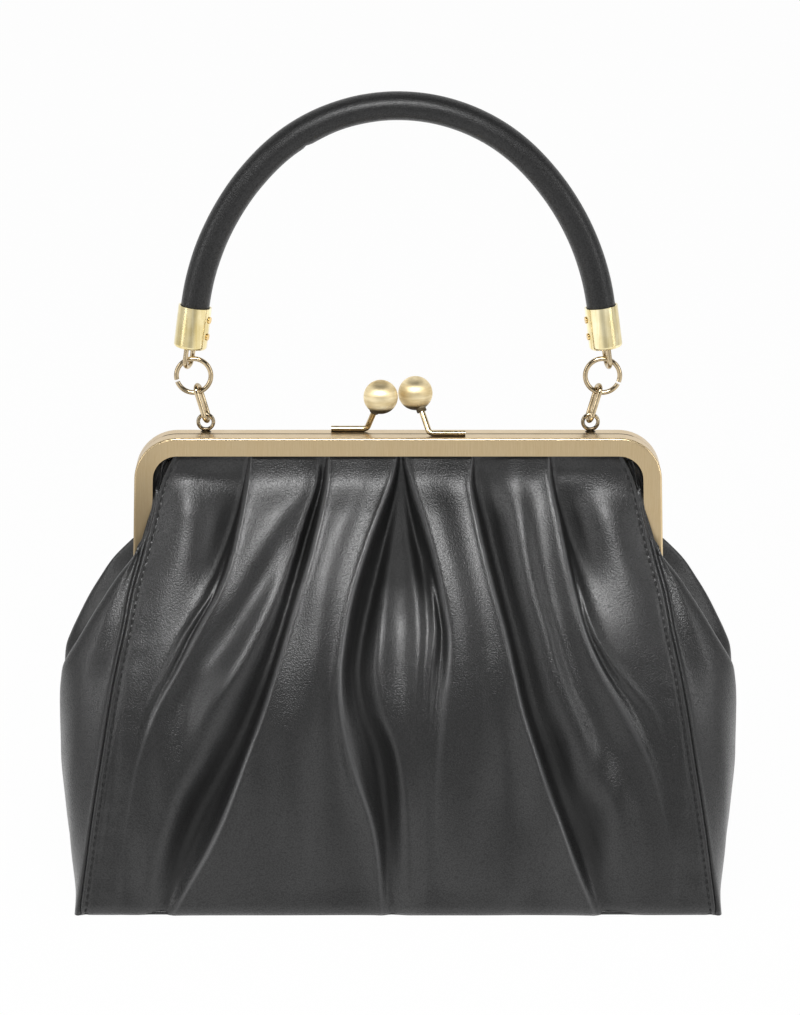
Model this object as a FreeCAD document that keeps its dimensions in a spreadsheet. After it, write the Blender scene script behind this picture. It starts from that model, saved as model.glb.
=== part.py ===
import FreeCAD, Part
import math
import os

import Sketcher

# A purse with a hinged brass frame, closed by two crossing balls, and a handle on rings.
# Origin: centre of the base on the ground. +X is the viewer's right, -Y the front, +Z up.

VECTOR = FreeCAD.Vector
ROTATION = FreeCAD.Rotation
PLACEMENT = FreeCAD.Placement
AXIS_X = VECTOR(1, 0, 0)
AXIS_Y = VECTOR(0, 1, 0)
AXIS_Z = VECTOR(0, 0, 1)

# Driving sizes, in millimetres and degrees
SIZES = {
    # Frame halves
    "frame_width": 221.4,
    "frame_top": 198.0,
    "rail_width": 7.8,
    "rail_depth": 8.4,
    "rail_wall": 1.0,
    "rail_inner_width": 6.4,
    "rail_edge_radius": 0.9,
    "corner_radius": 18.0,
    "leg_splay": 1.4,
    "halves_gap": 0.3,
    # Frame hinges
    "hinge_height": 135.0,
    "tab_radius": 4.0,
    "tab_thickness": 1.0,
    "tab_clearance": 0.15,
    "leg_clearance": 0.5,
    "tab_margin": 1.2,
    "tab_root": 4.0,
    "rivet_radius": 1.5,
    "rivet_clearance": 0.05,
    "rivet_head_radius": 2.6,
    "rivet_head_height": 1.0,
    # Cord in the channel
    "cord_radius": 1.3,
    "cord_inset": 3.7,
    "cord_clearance": 0.1,
    # Kiss lock
    "ball_radius": 7.2,
    "ball_pass_gap": 0.16,
    "ball_rise": 16.7,
    "ball_reach": 8.1,
    "stem_radius": 1.25,
    "stem_foot": 15.0,
    "stem_run": 5.9,
    "stem_bend": 2.2,
    "stem_seat": 4.0,
    "collar_radius": 2.1,
    "collar_height": 1.2,
    # Handle fittings
    "eyelet_radius": 3.2,
    "eyelet_wire": 0.8,
    "eyelet_rise": 4.25,
    "eyelet_base_radius": 2.3,
    "eyelet_base_height": 1.0,
    "shank_radius": 1.0,
    "shank_head_radius": 1.7,
    "shank_head_height": 0.6,
    "link_wire": 1.0,
    "link_bow": 2.8,
    "link_length": 10.08,
    "link_turn": 15.0,
    "chain_lean": 16.5,
    "ring_radius": 7.25,
    "ring_wire": 1.05,
    "ring_gap": 8.0,
    "ring_gap_turn": 176.0,
    "bail_wire": 1.05,
    "bail_bow": 3.8,
    "bail_drop": 3.1,
    "bail_peen": 0.8,
    "cap_lift": 5.1,
    "cap_radius": 7.0,
    "cap_wall": 0.7,
    "cap_floor": 1.2,
    "cap_length": 17.9,
    "cap_edge_radius": 1.4,
    "cap_lean": 7.5,
    "left_cap_turn": 20.0,
    "right_cap_turn": 12.0,
    "pin_radius": 1.45,
    "pin_stand": 0.5,
    "pin_clearance": 0.03,
    # Handle
    "handle_inset": 25.8,
    "handle_radius": 6.0,
    "sleeve_wall": 1.2,
    "core_clearance": 0.05,
    "crown_angle": 45.0,
    "side_radius": 107.7,
    "sleeve_seat": 14.0,
    # Leather body
    "leather": 1.6,
    "base_width": 268.0,
    "base_depth": 90.0,
    "split_rise": 4.0,
    "split_inset": 0.2,
    "split_depth": 48.6,
    "lap_room": 4.2,
    "head_inset": 15.2,
    "head_depth": 11.4,
    "head_clearance": 1.0,
    "lap_gap": 0.3,
    "panel_bow": 7.0,
    "pleat_depth": 3.6,
    "ridge_stand": 21.0,
    "seam_gap": 0.3,
    "base_thickness": 1.8,
    "board_thickness": 2.0,
    "board_margin": 2.0,
    "corner_round": 4.0,
    "lining": 0.7,
    "lining_gap": 0.5,
    "lining_side_gap": 1.5,
}

# How the leather changes from the base (0) to the split beside the hinges (1)
LEVEL_SHARES = (0.0, 0.22, 0.43, 0.61, 0.785, 0.915, 1.0)
SEAM_SHARES = (0.0, 0.17, 0.357, 0.532, 0.723, 0.872, 1.0)
DEPTH_SHARES = (0.0, 0.0, 0.1, 0.3, 0.56, 0.83, 1.0)
BOW_SHARES = (0.0, 0.29, 0.57, 0.86, 1.0, 1.0, 0.67)
PLEAT_SHARES = (0.0, 0.15, 0.35, 0.6, 0.85, 1.0, 0.8)
RIDGE_SHARES = (0.07, 0.5, 0.8, 1.0, 0.95, 0.64, 0.43)
VALLEY_SHARES = (0.095, 0.55, 0.84, 1.02, 0.81, 0.42, 0.31)
RIDGE_DEPTH_SHARES = (0.49, 0.49, 0.52, 0.565, 0.61, 0.64, 0.68)
LINING_LEVELS = 5

# How the pleated head changes from the split (0) to its top edge in the frame (1)
HEAD_LEVEL_SHARES = (0.0, 0.26, 0.52, 0.8, 0.9, 1.0)
HEAD_SEAM_SHARES = (0.0, 0.27, 0.54, 0.87, 0.97, 1.0)
HEAD_DEPTH_SHARES = (0.0, 0.42, 0.66, 0.94, 1.0, 1.0)
HEAD_BOW_SHARES = (0.87, 0.7, 0.5, 0.2, 0.03, 0.03)
HEAD_PLEAT_SHARES = (1.0, 0.9, 0.75, 0.35, 0.1, 0.1)

# Pleat lines across a panel, as shares of its half width
PLEAT_LINE_SHARES = (-1.0, -0.67, -0.34, 0.0, 0.34, 0.67, 1.0)

# The two pins of a cap, as shares of its length from its closed end
PIN_SHARES = (0.33, 0.73)

doc = FreeCAD.newDocument("FramePurse")
sheet = doc.addObject("Spreadsheet::Sheet", "Sizes")
for row, (alias, size) in enumerate(SIZES.items(), start=1):
    sheet.set(f"A{row}", alias)
    sheet.set(f"B{row}", str(size))
    sheet.setAlias(f"B{row}", alias)
doc.recompute()

sub_parts = {}


def size_of(alias):
    return float(sheet.get(alias))


def cell(alias):
    return f"Sizes.{alias}"


def value_of(expression):
    return float(sheet.evalExpression(expression))


def keep(node, label):
    node.Label = label
    sub_parts[label] = node
    return node


# Sketches: every point is placed by two expressions, every arc by its ends and its radius
def new_body(name):
    return doc.addObject("PartDesign::Body", name)


def plane(body, role):
    for feature in body.Origin.OriginFeatures:
        if feature.Role == role:
            return feature
    raise ValueError(role)


def new_sketch(body, name, role, offset=None):
    sketch = body.newObject("Sketcher::SketchObject", name)
    sketch.AttachmentSupport = [(plane(body, role), "")]
    sketch.MapMode = "FlatFace"
    if offset:
        sketch.setExpression("AttachmentOffset.Base.z", offset)
    return sketch


def add_driven(sketch, constraint, expression):
    index = sketch.addConstraint(constraint)
    sketch.setExpression(f"Constraints[{index}]", expression)


def locate(sketch, piece, end, point):
    for expression, kind, axis in ((point[0], "DistanceX", -2), (point[1], "DistanceY", -1)):
        if expression == "0":
            sketch.addConstraint(Sketcher.Constraint("PointOnObject", piece, end, axis))
        else:
            rule = Sketcher.Constraint(kind, -1, 1, piece, end, value_of(expression))
            add_driven(sketch, rule, expression)


def vector_of(point):
    return VECTOR(value_of(point[0]), value_of(point[1]), 0)


def draw(sketch, start, steps, closed):
    """Steps are (end,) for a line, or (end, centre, radius, turn) for an arc, turn 1 or -1."""
    joints = []
    begin = start
    for step in steps:
        first = vector_of(begin)
        last = vector_of(step[0])
        if len(step) == 1:
            piece = sketch.addGeometry(Part.LineSegment(first, last))
            joints.append((piece, 1, 2, begin))
        else:
            middle = vector_of(step[1])
            circle = Part.Circle(middle, AXIS_Z, value_of(step[2]))
            angle_first = math.atan2(first.y - middle.y, first.x - middle.x)
            angle_last = math.atan2(last.y - middle.y, last.x - middle.x)
            if step[3] > 0:
                arc = Part.ArcOfCircle(circle, angle_first, angle_last)
                ends = (1, 2)
            else:
                arc = Part.ArcOfCircle(circle, angle_last, angle_first)
                ends = (2, 1)
            piece = sketch.addGeometry(arc)
            joints.append((piece, ends[0], ends[1], begin))
        begin = step[0]
    followers = joints[1:] + joints[:1] if closed else joints[1:]
    for one, after in zip(joints, followers):
        sketch.addConstraint(Sketcher.Constraint("Coincident", one[0], one[2], after[0], after[1]))
    for piece, begin_end, last_end, point in joints:
        locate(sketch, piece, begin_end, point)
    if not closed:
        locate(sketch, joints[-1][0], joints[-1][2], steps[-1][0])
    for step, joint in zip(steps, joints):
        if len(step) > 1:
            rule = Sketcher.Constraint("Radius", joint[0], value_of(step[2]))
            add_driven(sketch, rule, step[2])
    return len(steps)


def draw_circle(sketch, centre, radius):
    piece = sketch.addGeometry(Part.Circle(vector_of(centre), AXIS_Z, value_of(radius)))
    locate(sketch, piece, 3, centre)
    add_driven(sketch, Sketcher.Constraint("Radius", piece, value_of(radius)), radius)


# Features
def pipe(body, name, profile, path, edges):
    feature = body.newObject("PartDesign::AdditivePipe", name)
    feature.Profile = (profile, [""])
    feature.Spine = (path, [f"Edge{number}" for number in range(1, edges + 1)])
    doc.recompute()
    return feature


def pad(body, name, profile, length):
    feature = body.newObject("PartDesign::Pad", name)
    feature.Profile = profile
    feature.setExpression("Length", length)
    doc.recompute()
    return feature


def pocket(body, name, profile, length, backwards):
    before = body.Shape.Volume
    feature = body.newObject("PartDesign::Pocket", name)
    feature.Profile = profile
    feature.setExpression("Length", length)
    feature.Reversed = backwards
    doc.recompute()
    if not body.Shape.Volume < before:
        raise RuntimeError(f"{name} cuts nothing")
    return feature


def revolve(body, name, profile):
    feature = body.newObject("PartDesign::Revolution", name)
    feature.Profile = profile
    feature.ReferenceAxis = (profile, ["V_Axis"])
    feature.Angle = 360.0
    doc.recompute()
    return feature


def mirror(body, name, originals, role):
    feature = body.newObject("PartDesign::Mirrored", name)
    feature.Originals = originals
    feature.MirrorPlane = (plane(body, role), [""])
    body.Tip = feature
    doc.recompute()
    return feature


def primitive(kind, name, **sizes):
    node = doc.addObject(kind, name)
    for key, expression in sizes.items():
        node.setExpression(key, expression)
    return node


def combine(kind, name, base, tool):
    node = doc.addObject(kind, name)
    node.Base = base
    node.Tool = tool
    return node


def turned(axis, angle):
    return PLACEMENT(VECTOR(), ROTATION(axis, angle))


def moved(x, y, z):
    return PLACEMENT(VECTOR(x, y, z), ROTATION())


def beside(side, x, z):
    """A place on the middle line of the rear rail, on the left (-1) or the right (1)."""
    return moved(side * value_of(x), value_of(RAIL_MIDDLE), value_of(z))


HALF_TURN_ANGLE = 180
HALF_TURN = turned(AXIS_Z, HALF_TURN_ANGLE)

# Places that several pieces share, as expressions
TOP = cell("frame_top")
NEAR = f"{cell('halves_gap')} / 2"
FAR = f"({NEAR} + {cell('rail_depth')})"
RAIL_MIDDLE = f"({NEAR} + {cell('rail_depth')} / 2)"
HINGE = cell("hinge_height")
LEG_END = f"({HINGE} + {cell('tab_radius')} + {cell('leg_clearance')})"
SPLAY_SIN = f"sin({cell('leg_splay')})"
SPLAY_COS = f"cos({cell('leg_splay')})"
CORNER = cell("corner_radius")
CORNER_X = f"({cell('frame_width')} / 2 - {CORNER} * {SPLAY_COS})"
CORNER_END_Z = f"({TOP} - {CORNER} + {CORNER} * {SPLAY_SIN})"
LEG_X = f"({cell('frame_width')} / 2 + ({CORNER_END_Z} - {LEG_END}) * tan({cell('leg_splay')}))"
FRONT_TAB_X = f"({LEG_X} - {cell('tab_thickness')})"
REAR_TAB_X = f"({FRONT_TAB_X} - {cell('tab_clearance')} - {cell('tab_thickness')})"

# The handle's fittings stand on one leaning line from each eyelet to each cap
LINE_SIN = f"sin({cell('chain_lean')})"
LINE_COS = f"cos({cell('chain_lean')})"
CAP_SIN = f"sin({cell('cap_lean')})"
CAP_COS = f"cos({cell('cap_lean')})"
RING_SPAN = f"(2 * {cell('ring_radius')})"
CAP_REACH = f"({cell('cap_length')} + {cell('cap_lift')})"
HALF_SPAN = f"({cell('frame_width')} / 2 - {cell('handle_inset')})"
BAIL_PIVOT_X = f"({HALF_SPAN} + {CAP_REACH} * {CAP_SIN})"
RING_PIVOT_X = f"({BAIL_PIVOT_X} - {RING_SPAN} * {LINE_SIN})"
EYELET_X = f"({RING_PIVOT_X} - {cell('link_length')} * {LINE_SIN})"
EYELET_Z = f"({TOP} + {cell('eyelet_rise')})"
LINK_PIVOT_Z = f"({EYELET_Z} + {cell('eyelet_radius')})"
RING_PIVOT_Z = f"({LINK_PIVOT_Z} + {cell('link_length')} * {LINE_COS})"
BAIL_PIVOT_Z = f"({RING_PIVOT_Z} + {RING_SPAN} * {LINE_COS})"
CAP_X = f"({BAIL_PIVOT_X} - {cell('cap_lift')} * {CAP_SIN})"
CAP_Z = f"({BAIL_PIVOT_Z} + {cell('cap_lift')} * {CAP_COS})"
MOUTH_Z = f"({CAP_Z} + {cell('cap_length')} * {CAP_COS})"
SIDES = (("left", -1), ("right", 1))


def rail_path(body, name, inset):
    """Half of the frame's outline, from its top middle to the end of one leg."""
    path = new_sketch(body, name, "XZ_Plane")
    top = f"({TOP} - {inset})"
    radius = f"({CORNER} - {inset})"
    middle_z = f"({TOP} - {CORNER})"
    steps = (
        ((CORNER_X, top),),
        (
            (f"({CORNER_X} + {radius} * {SPLAY_COS})", f"({middle_z} + {radius} * {SPLAY_SIN})"),
            (CORNER_X, middle_z),
            radius,
            -1,
        ),
        ((f"({LEG_X} - {inset} / {SPLAY_COS})", LEG_END),),
    )
    edges = draw(path, ("0", top), steps, False)
    return path, edges


def channel_profile(body):
    """The rail's section: a channel open towards the bag, with its outer edge rounded."""
    wall = cell("rail_wall")
    edge = cell("rail_edge_radius")
    low = f"({TOP} - {cell('rail_width')})"
    inner_low = f"({TOP} - {cell('rail_inner_width')})"
    under = f"({TOP} - {wall})"
    profile = new_sketch(body, "section", "YZ_Plane")
    steps = (
        ((f"({FAR} - {edge})", TOP),),
        ((FAR, f"({TOP} - {edge})"), (f"({FAR} - {edge})", f"({TOP} - {edge})"), edge, -1),
        ((FAR, low),),
        ((f"({FAR} - {wall})", low),),
        ((f"({FAR} - {wall})", under),),
        ((f"({NEAR} + {wall})", under),),
        ((f"({NEAR} + {wall})", inner_low),),
        ((NEAR, inner_low),),
        ((NEAR, TOP),),
    )
    draw(profile, (NEAR, TOP), steps, True)
    return profile


def hinge_tab(body, tab_x):
    """A round tab on the hinge axis, with an arm up to the leg."""
    disc = new_sketch(body, "tab_disc", "YZ_Plane", tab_x)
    draw_circle(disc, ("0", HINGE), cell("tab_radius"))
    arm = new_sketch(body, "tab_arm", "YZ_Plane", tab_x)
    arm_top = f"({LEG_END} + {cell('tab_root')})"
    steps = (
        ((cell("tab_radius"), HINGE),),
        ((f"({FAR} - {cell('tab_margin')})", arm_top),),
        ((f"({NEAR} + {cell('tab_margin')})", arm_top),),
        (("0", HINGE),),
    )
    draw(arm, ("0", HINGE), steps, True)
    return [
        pad(body, "tab_disc_pad", disc, cell("tab_thickness")),
        pad(body, "tab_arm_pad", arm, cell("tab_thickness")),
    ]


def joggle(body):
    """The rear tab lies one plate further in, so a step joins it to its leg."""
    step = new_sketch(body, "joggle", "YZ_Plane", REAR_TAB_X)
    low = f"({LEG_END} + {cell('leg_clearance')})"
    high = f"({LEG_END} + {cell('tab_root')})"
    near = f"({NEAR} + {cell('tab_margin')})"
    far = f"({FAR} - {cell('tab_margin')})"
    steps = (((far, low),), ((far, high),), ((near, high),), ((near, low),))
    draw(step, (near, low), steps, True)
    depth = f"{cell('tab_thickness')} + {cell('tab_clearance')} + {cell('rail_wall')} / 2"
    return pad(body, "joggle_pad", step, depth)


def frame_half(label, is_front):
    body = new_body(label)
    path, edges = rail_path(body, "outline", "0")
    rail = pipe(body, "rail", channel_profile(body), path, edges)
    features = [rail] + hinge_tab(body, FRONT_TAB_X if is_front else REAR_TAB_X)
    if not is_front:
        features.append(joggle(body))
    bore = new_sketch(body, "pin_bore", "YZ_Plane")
    draw_circle(bore, ("0", HINGE), f"{cell('rivet_radius')} + {cell('rivet_clearance')}")
    features.append(pocket(body, "pin_bore_cut", bore, cell("frame_width"), True))
    if not is_front:
        hole = new_sketch(body, "eyelet_hole", "XY_Plane", TOP)
        draw_circle(hole, (EYELET_X, RAIL_MIDDLE), cell("shank_radius"))
        features.append(pocket(body, "eyelet_hole_cut", hole, cell("rail_width"), False))
    mirror(body, "both_sides", features, "YZ_Plane")
    if is_front:
        body.Placement = HALF_TURN
    return keep(body, label)


def channel_cord(label, is_front):
    body = new_body(label)
    inset = cell("cord_inset")
    path, edges = rail_path(body, "cord_path", inset)
    inner_wall = f"({NEAR} + {cell('rail_wall')})"
    middle = f"({inner_wall} + {cell('cord_clearance')} + {cell('cord_radius')})"
    profile = new_sketch(body, "cord_section", "YZ_Plane")
    draw_circle(profile, (middle, f"({TOP} - {inset})"), cell("cord_radius"))
    half = pipe(body, "cord", profile, path, edges)
    mirror(body, "both_sides", [half], "YZ_Plane")
    if is_front:
        body.Placement = HALF_TURN
    return keep(body, label)


def hinge_rivet(label, side):
    body = new_body(label)
    grip = f"(2 * {cell('tab_thickness')} + {cell('tab_clearance')} + 2 * {cell('rivet_clearance')})"
    head = cell("rivet_head_radius")
    height = cell("rivet_head_height")
    shank = cell("rivet_radius")
    profile = new_sketch(body, "rivet_section", "XZ_Plane")
    steps = (
        ((shank, "0"),),
        ((head, f"{height} / 2"),),
        ((head, height),),
        ((shank, height),),
        ((shank, f"{height} + {grip}"),),
        ((head, f"{height} + {grip}"),),
        ((head, f"{height} * 3 / 2 + {grip}"),),
        ((shank, f"{height} * 2 + {grip}"),),
        (("0", f"{height} * 2 + {grip}"),),
        (("0", "0"),),
    )
    draw(profile, ("0", "0"), steps, True)
    revolve(body, "rivet", profile)
    start = value_of(f"{REAR_TAB_X} - {cell('rivet_clearance')} - {height}")
    turn = turned(AXIS_Y, 90 * side)
    body.Placement = moved(side * start, 0, size_of("hinge_height")).multiply(turn)
    return keep(body, label)


# Kiss lock: a foot bar on the rail, a stem that leans over the other half, and a ball
STEM_LEAN = math.degrees(math.atan2(size_of("ball_reach"), size_of("ball_rise") - size_of("stem_radius")))
STEM_HEIGHT = f"sqrt({cell('ball_reach')}^2 + ({cell('ball_rise')} - {cell('stem_radius')})^2)"
STEM_TILT = f"atan({cell('stem_run')} / {STEM_HEIGHT})"
BALL_DISTANCE = f"sqrt({cell('stem_run')}^2 + {STEM_HEIGHT}^2)"
BALL_X = size_of("ball_radius") + size_of("ball_pass_gap") / 2


def lock_place(is_front):
    foot_start = BALL_X + size_of("stem_run") + size_of("stem_foot")
    height = size_of("frame_top") + size_of("stem_radius")
    place = moved(-foot_start, value_of(RAIL_MIDDLE), height).multiply(turned(AXIS_X, STEM_LEAN))
    return HALF_TURN.multiply(place) if is_front else place


def ball_stem(label, is_front):
    body = new_body(label)
    foot = cell("stem_foot")
    bend = cell("stem_bend")
    tangent = f"({bend} * tan((90 deg - {STEM_TILT}) / 2))"
    length = f"({BALL_DISTANCE} - {cell('ball_radius')} + {cell('stem_seat')})"
    path = new_sketch(body, "stem_path", "XZ_Plane")
    steps = (
        ((f"({foot} - {tangent})", "0"),),
        (
            (f"({foot} + {tangent} * sin({STEM_TILT}))", f"({tangent} * cos({STEM_TILT}))"),
            (f"({foot} - {tangent})", bend),
            bend,
            1,
        ),
        ((f"({foot} + {length} * sin({STEM_TILT}))", f"({length} * cos({STEM_TILT}))"),),
    )
    edges = draw(path, ("0", "0"), steps, False)
    profile = new_sketch(body, "stem_section", "YZ_Plane")
    draw_circle(profile, ("0", "0"), cell("stem_radius"))
    pipe(body, "stem", profile, path, edges)
    body.Placement = lock_place(is_front)
    return keep(body, label)


def lock_ball(label, is_front):
    tilt = turned(AXIS_Y, value_of(STEM_TILT))
    along = lock_place(is_front).multiply(moved(size_of("stem_foot"), 0, 0)).multiply(tilt)
    distance = value_of(BALL_DISTANCE)
    sphere = primitive("Part::Sphere", label + "_sphere", Radius=cell("ball_radius"))
    sphere.Placement = along.multiply(moved(0, 0, distance))
    collar = primitive(
        "Part::Cylinder",
        label + "_collar",
        Radius=cell("collar_radius"),
        Height=f"{cell('collar_height')} + {cell('stem_seat')} / 2",
    )
    collar_start = distance - size_of("ball_radius") - size_of("collar_height")
    collar.Placement = along.multiply(moved(0, 0, collar_start))
    whole = combine("Part::Fuse", label + "_whole", sphere, collar)
    bore = primitive(
        "Part::Cylinder",
        label + "_bore",
        Radius=cell("stem_radius"),
        Height=f"{cell('collar_height')} + {cell('stem_seat')}",
    )
    bore.Placement = along.multiply(moved(0, 0, collar_start))
    return keep(combine("Part::Cut", label + "_cut", whole, bore), label)


# Handle fittings
def eyelet(label, side):
    ring = primitive(
        "Part::Torus",
        label + "_ring",
        Radius1=cell("eyelet_radius"),
        Radius2=cell("eyelet_wire"),
    )
    centre = beside(side, EYELET_X, EYELET_Z)
    ring.Placement = centre.multiply(turned(AXIS_X, 90))
    foot = beside(side, EYELET_X, TOP)
    base = primitive(
        "Part::Cone",
        label + "_base",
        Radius1=cell("eyelet_base_radius"),
        Radius2=f"{cell('eyelet_base_radius')} / 2",
        Height=cell("eyelet_base_height"),
    )
    base.Placement = foot
    shank = primitive(
        "Part::Cylinder",
        label + "_shank",
        Radius=cell("shank_radius"),
        Height=f"{cell('rail_wall')} + {cell('shank_head_height')}",
    )
    shank.Placement = foot.multiply(moved(0, 0, -size_of("rail_wall") - size_of("shank_head_height")))
    head = primitive(
        "Part::Cylinder",
        label + "_head",
        Radius=cell("shank_head_radius"),
        Height=cell("shank_head_height"),
    )
    head.Placement = shank.Placement
    lower = combine("Part::Fuse", label + "_rivet", shank, head)
    upper = combine("Part::Fuse", label + "_loop", ring, base)
    return keep(combine("Part::Fuse", label + "_all", upper, lower), label)


def line_place(side, x, z, turn):
    """A place on the leaning line of one side's fittings, turned about that line."""
    place = beside(side, x, z).multiply(turned(AXIS_Y, side * size_of("chain_lean")))
    return place.multiply(turned(AXIS_Z, side * turn))


def oval_link(label, side):
    body = new_body(label)
    bow = cell("link_bow")
    length = cell("link_length")
    path = new_sketch(body, "link_path", "YZ_Plane")
    steps = (
        ((bow, bow), ("0", bow), bow, 1),
        ((bow, f"{bow} + {length}"),),
        (("0", f"2 * {bow} + {length}"), ("0", f"{bow} + {length}"), bow, 1),
    )
    edges = draw(path, ("0", "0"), steps, False)
    profile = new_sketch(body, "link_section", "XZ_Plane")
    draw_circle(profile, ("0", "0"), cell("link_wire"))
    half = pipe(body, "link", profile, path, edges)
    mirror(body, "both_sides", [half], "XZ_Plane")
    place = line_place(side, EYELET_X, LINK_PIVOT_Z, size_of("link_turn"))
    body.Placement = place.multiply(moved(0, 0, -size_of("link_bow")))
    return keep(body, label)


def jump_ring(label, side):
    ring = primitive(
        "Part::Torus",
        label + "_wire",
        Radius1=cell("ring_radius"),
        Radius2=cell("ring_wire"),
        Angle3=f"360 - {cell('ring_gap')}",
    )
    middle_x = f"({RING_PIVOT_X} + {BAIL_PIVOT_X}) / 2"
    middle_z = f"({RING_PIVOT_Z} + {BAIL_PIVOT_Z}) / 2"
    centre = line_place(side, middle_x, middle_z, 0)
    gap_turn = size_of("ring_gap_turn") if side < 0 else HALF_TURN_ANGLE - size_of("ring_gap_turn")
    ring.Placement = centre.multiply(turned(AXIS_X, 90)).multiply(turned(AXIS_Z, -gap_turn))
    return keep(ring, label)


def cap_place(side):
    place = beside(side, CAP_X, CAP_Z).multiply(turned(AXIS_Y, -side * size_of("cap_lean")))
    if side < 0:
        return place.multiply(turned(AXIS_Z, -size_of("left_cap_turn")))
    return place.multiply(turned(AXIS_Z, HALF_TURN_ANGLE + size_of("right_cap_turn")))


def bail(label, side):
    body = new_body(label)
    bow = cell("bail_bow")
    drop = f"({cell('cap_lift')} + {cell('bail_drop')})"
    path = new_sketch(body, "bail_path", "YZ_Plane")
    steps = (
        ((bow, bow), ("0", bow), bow, 1),
        ((bow, f"{drop} + {cell('cap_floor')} + {cell('bail_peen')}"),),
    )
    edges = draw(path, ("0", "0"), steps, False)
    profile = new_sketch(body, "bail_section", "XZ_Plane")
    draw_circle(profile, ("0", "0"), cell("bail_wire"))
    half = pipe(body, "bail", profile, path, edges)
    mirror(body, "both_sides", [half], "XZ_Plane")
    body.Placement = cap_place(side).multiply(moved(0, 0, -value_of(drop)))
    return keep(body, label)


def cap(label, side):
    body = new_body(label)
    radius = cell("cap_radius")
    edge = cell("cap_edge_radius")
    length = cell("cap_length")
    floor = cell("cap_floor")
    inner = f"({radius} - {cell('cap_wall')})"
    profile = new_sketch(body, "cap_section", "XZ_Plane")
    steps = (
        ((f"({radius} - {edge})", "0"),),
        ((radius, edge), (f"({radius} - {edge})", edge), edge, 1),
        ((radius, length),),
        ((inner, length),),
        ((inner, floor),),
        (("0", floor),),
        (("0", "0"),),
    )
    draw(profile, ("0", "0"), steps, True)
    revolve(body, "cap", profile)
    wire_hole = new_sketch(body, "bail_hole", "XY_Plane")
    draw_circle(wire_hole, ("0", cell("bail_bow")), cell("bail_wire"))
    holes = [pocket(body, "bail_hole_cut", wire_hole, f"2 * {floor}", True)]
    mirror(body, "both_holes", holes, "XZ_Plane")
    for number, share in enumerate(PIN_SHARES, start=1):
        pin_hole = new_sketch(body, f"pin_hole_{number}", "YZ_Plane")
        pin_hole_radius = f"{cell('pin_radius')} + {cell('pin_clearance')}"
        draw_circle(pin_hole, ("0", f"{share} * {length}"), pin_hole_radius)
        pocket(body, f"pin_hole_cut_{number}", pin_hole, f"2 * {radius}", True)
    body.Placement = cap_place(side)
    return keep(body, label)


def cap_pins(label, side):
    """Two set screws that stand a little proud of the cap."""
    pins = []
    for number, share in enumerate(PIN_SHARES, start=1):
        start = f"({cell('handle_radius')} + {cell('core_clearance')})"
        pin = primitive(
            "Part::Cylinder",
            f"{label}_{number}",
            Radius=cell("pin_radius"),
            Height=f"{cell('cap_radius')} + {cell('pin_stand')} - {start}",
        )
        along = cap_place(side).multiply(moved(value_of(start), 0, share * size_of("cap_length")))
        pin.Placement = along.multiply(turned(AXIS_Y, 90))
        pins.append(pin)
    group = doc.addObject("Part::Compound", label + "_pair")
    group.Links = pins
    return keep(group, label)


# Handle: a crown arc, two side arcs and two straight ends in the caps
CROWN_SIN = f"sin({cell('crown_angle')})"
CROWN_COS = f"cos({cell('crown_angle')})"
END_SIN = f"cos({cell('cap_lean')})"
END_COS = f"sin({cell('cap_lean')})"
SIDE_RADIUS = cell("side_radius")
CROWN_RADIUS = f"(({HALF_SPAN} - {SIDE_RADIUS} * ({END_SIN} - {CROWN_SIN})) / {CROWN_SIN})"
HANDLE_RISE = f"({CROWN_RADIUS} * (1 - {CROWN_COS}) + {SIDE_RADIUS} * ({CROWN_COS} - {END_COS}))"
SEAT_RISE = f"({cell('sleeve_seat')} * {END_SIN})"
APEX = f"({HANDLE_RISE} + {SEAT_RISE})"


def handle_path(body):
    path = new_sketch(body, "handle_path", "XZ_Plane")
    crown_z = f"({APEX} - {CROWN_RADIUS})"
    shoulder_x = f"({CROWN_RADIUS} * {CROWN_SIN})"
    shoulder_z = f"({crown_z} + {CROWN_RADIUS} * {CROWN_COS})"
    side_centre = (
        f"({shoulder_x} - {SIDE_RADIUS} * {CROWN_SIN})",
        f"({shoulder_z} - {SIDE_RADIUS} * {CROWN_COS})",
    )
    steps = (
        ((shoulder_x, shoulder_z), ("0", crown_z), CROWN_RADIUS, -1),
        ((HALF_SPAN, SEAT_RISE), side_centre, SIDE_RADIUS, -1),
        ((f"({HALF_SPAN} + {cell('sleeve_seat')} * {END_COS})", "0"),),
    )
    return path, draw(path, ("0", APEX), steps, False)


def handle_piece(label, radii):
    body = new_body(label)
    path, edges = handle_path(body)
    profile = new_sketch(body, "handle_section", "YZ_Plane")
    for radius in radii:
        draw_circle(profile, ("0", APEX), radius)
    half = pipe(body, "half_handle", profile, path, edges)
    mirror(body, "both_sides", [half], "YZ_Plane")
    body.Placement = beside(0, HALF_SPAN, f"{MOUTH_Z} - {SEAT_RISE}")
    return keep(body, label)


# Leather walls: lofts through closed sections, one section per level
def between(first, last, share):
    return first + (last - first) * share


def loft(label, sections):
    node = doc.addObject("Part::Feature", label)
    node.Shape = Part.makeLoft(sections, True, True)
    return keep(node, label)


def arc_edge(first, middle, last):
    return Part.Arc(first, middle, last).toShape()


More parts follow.
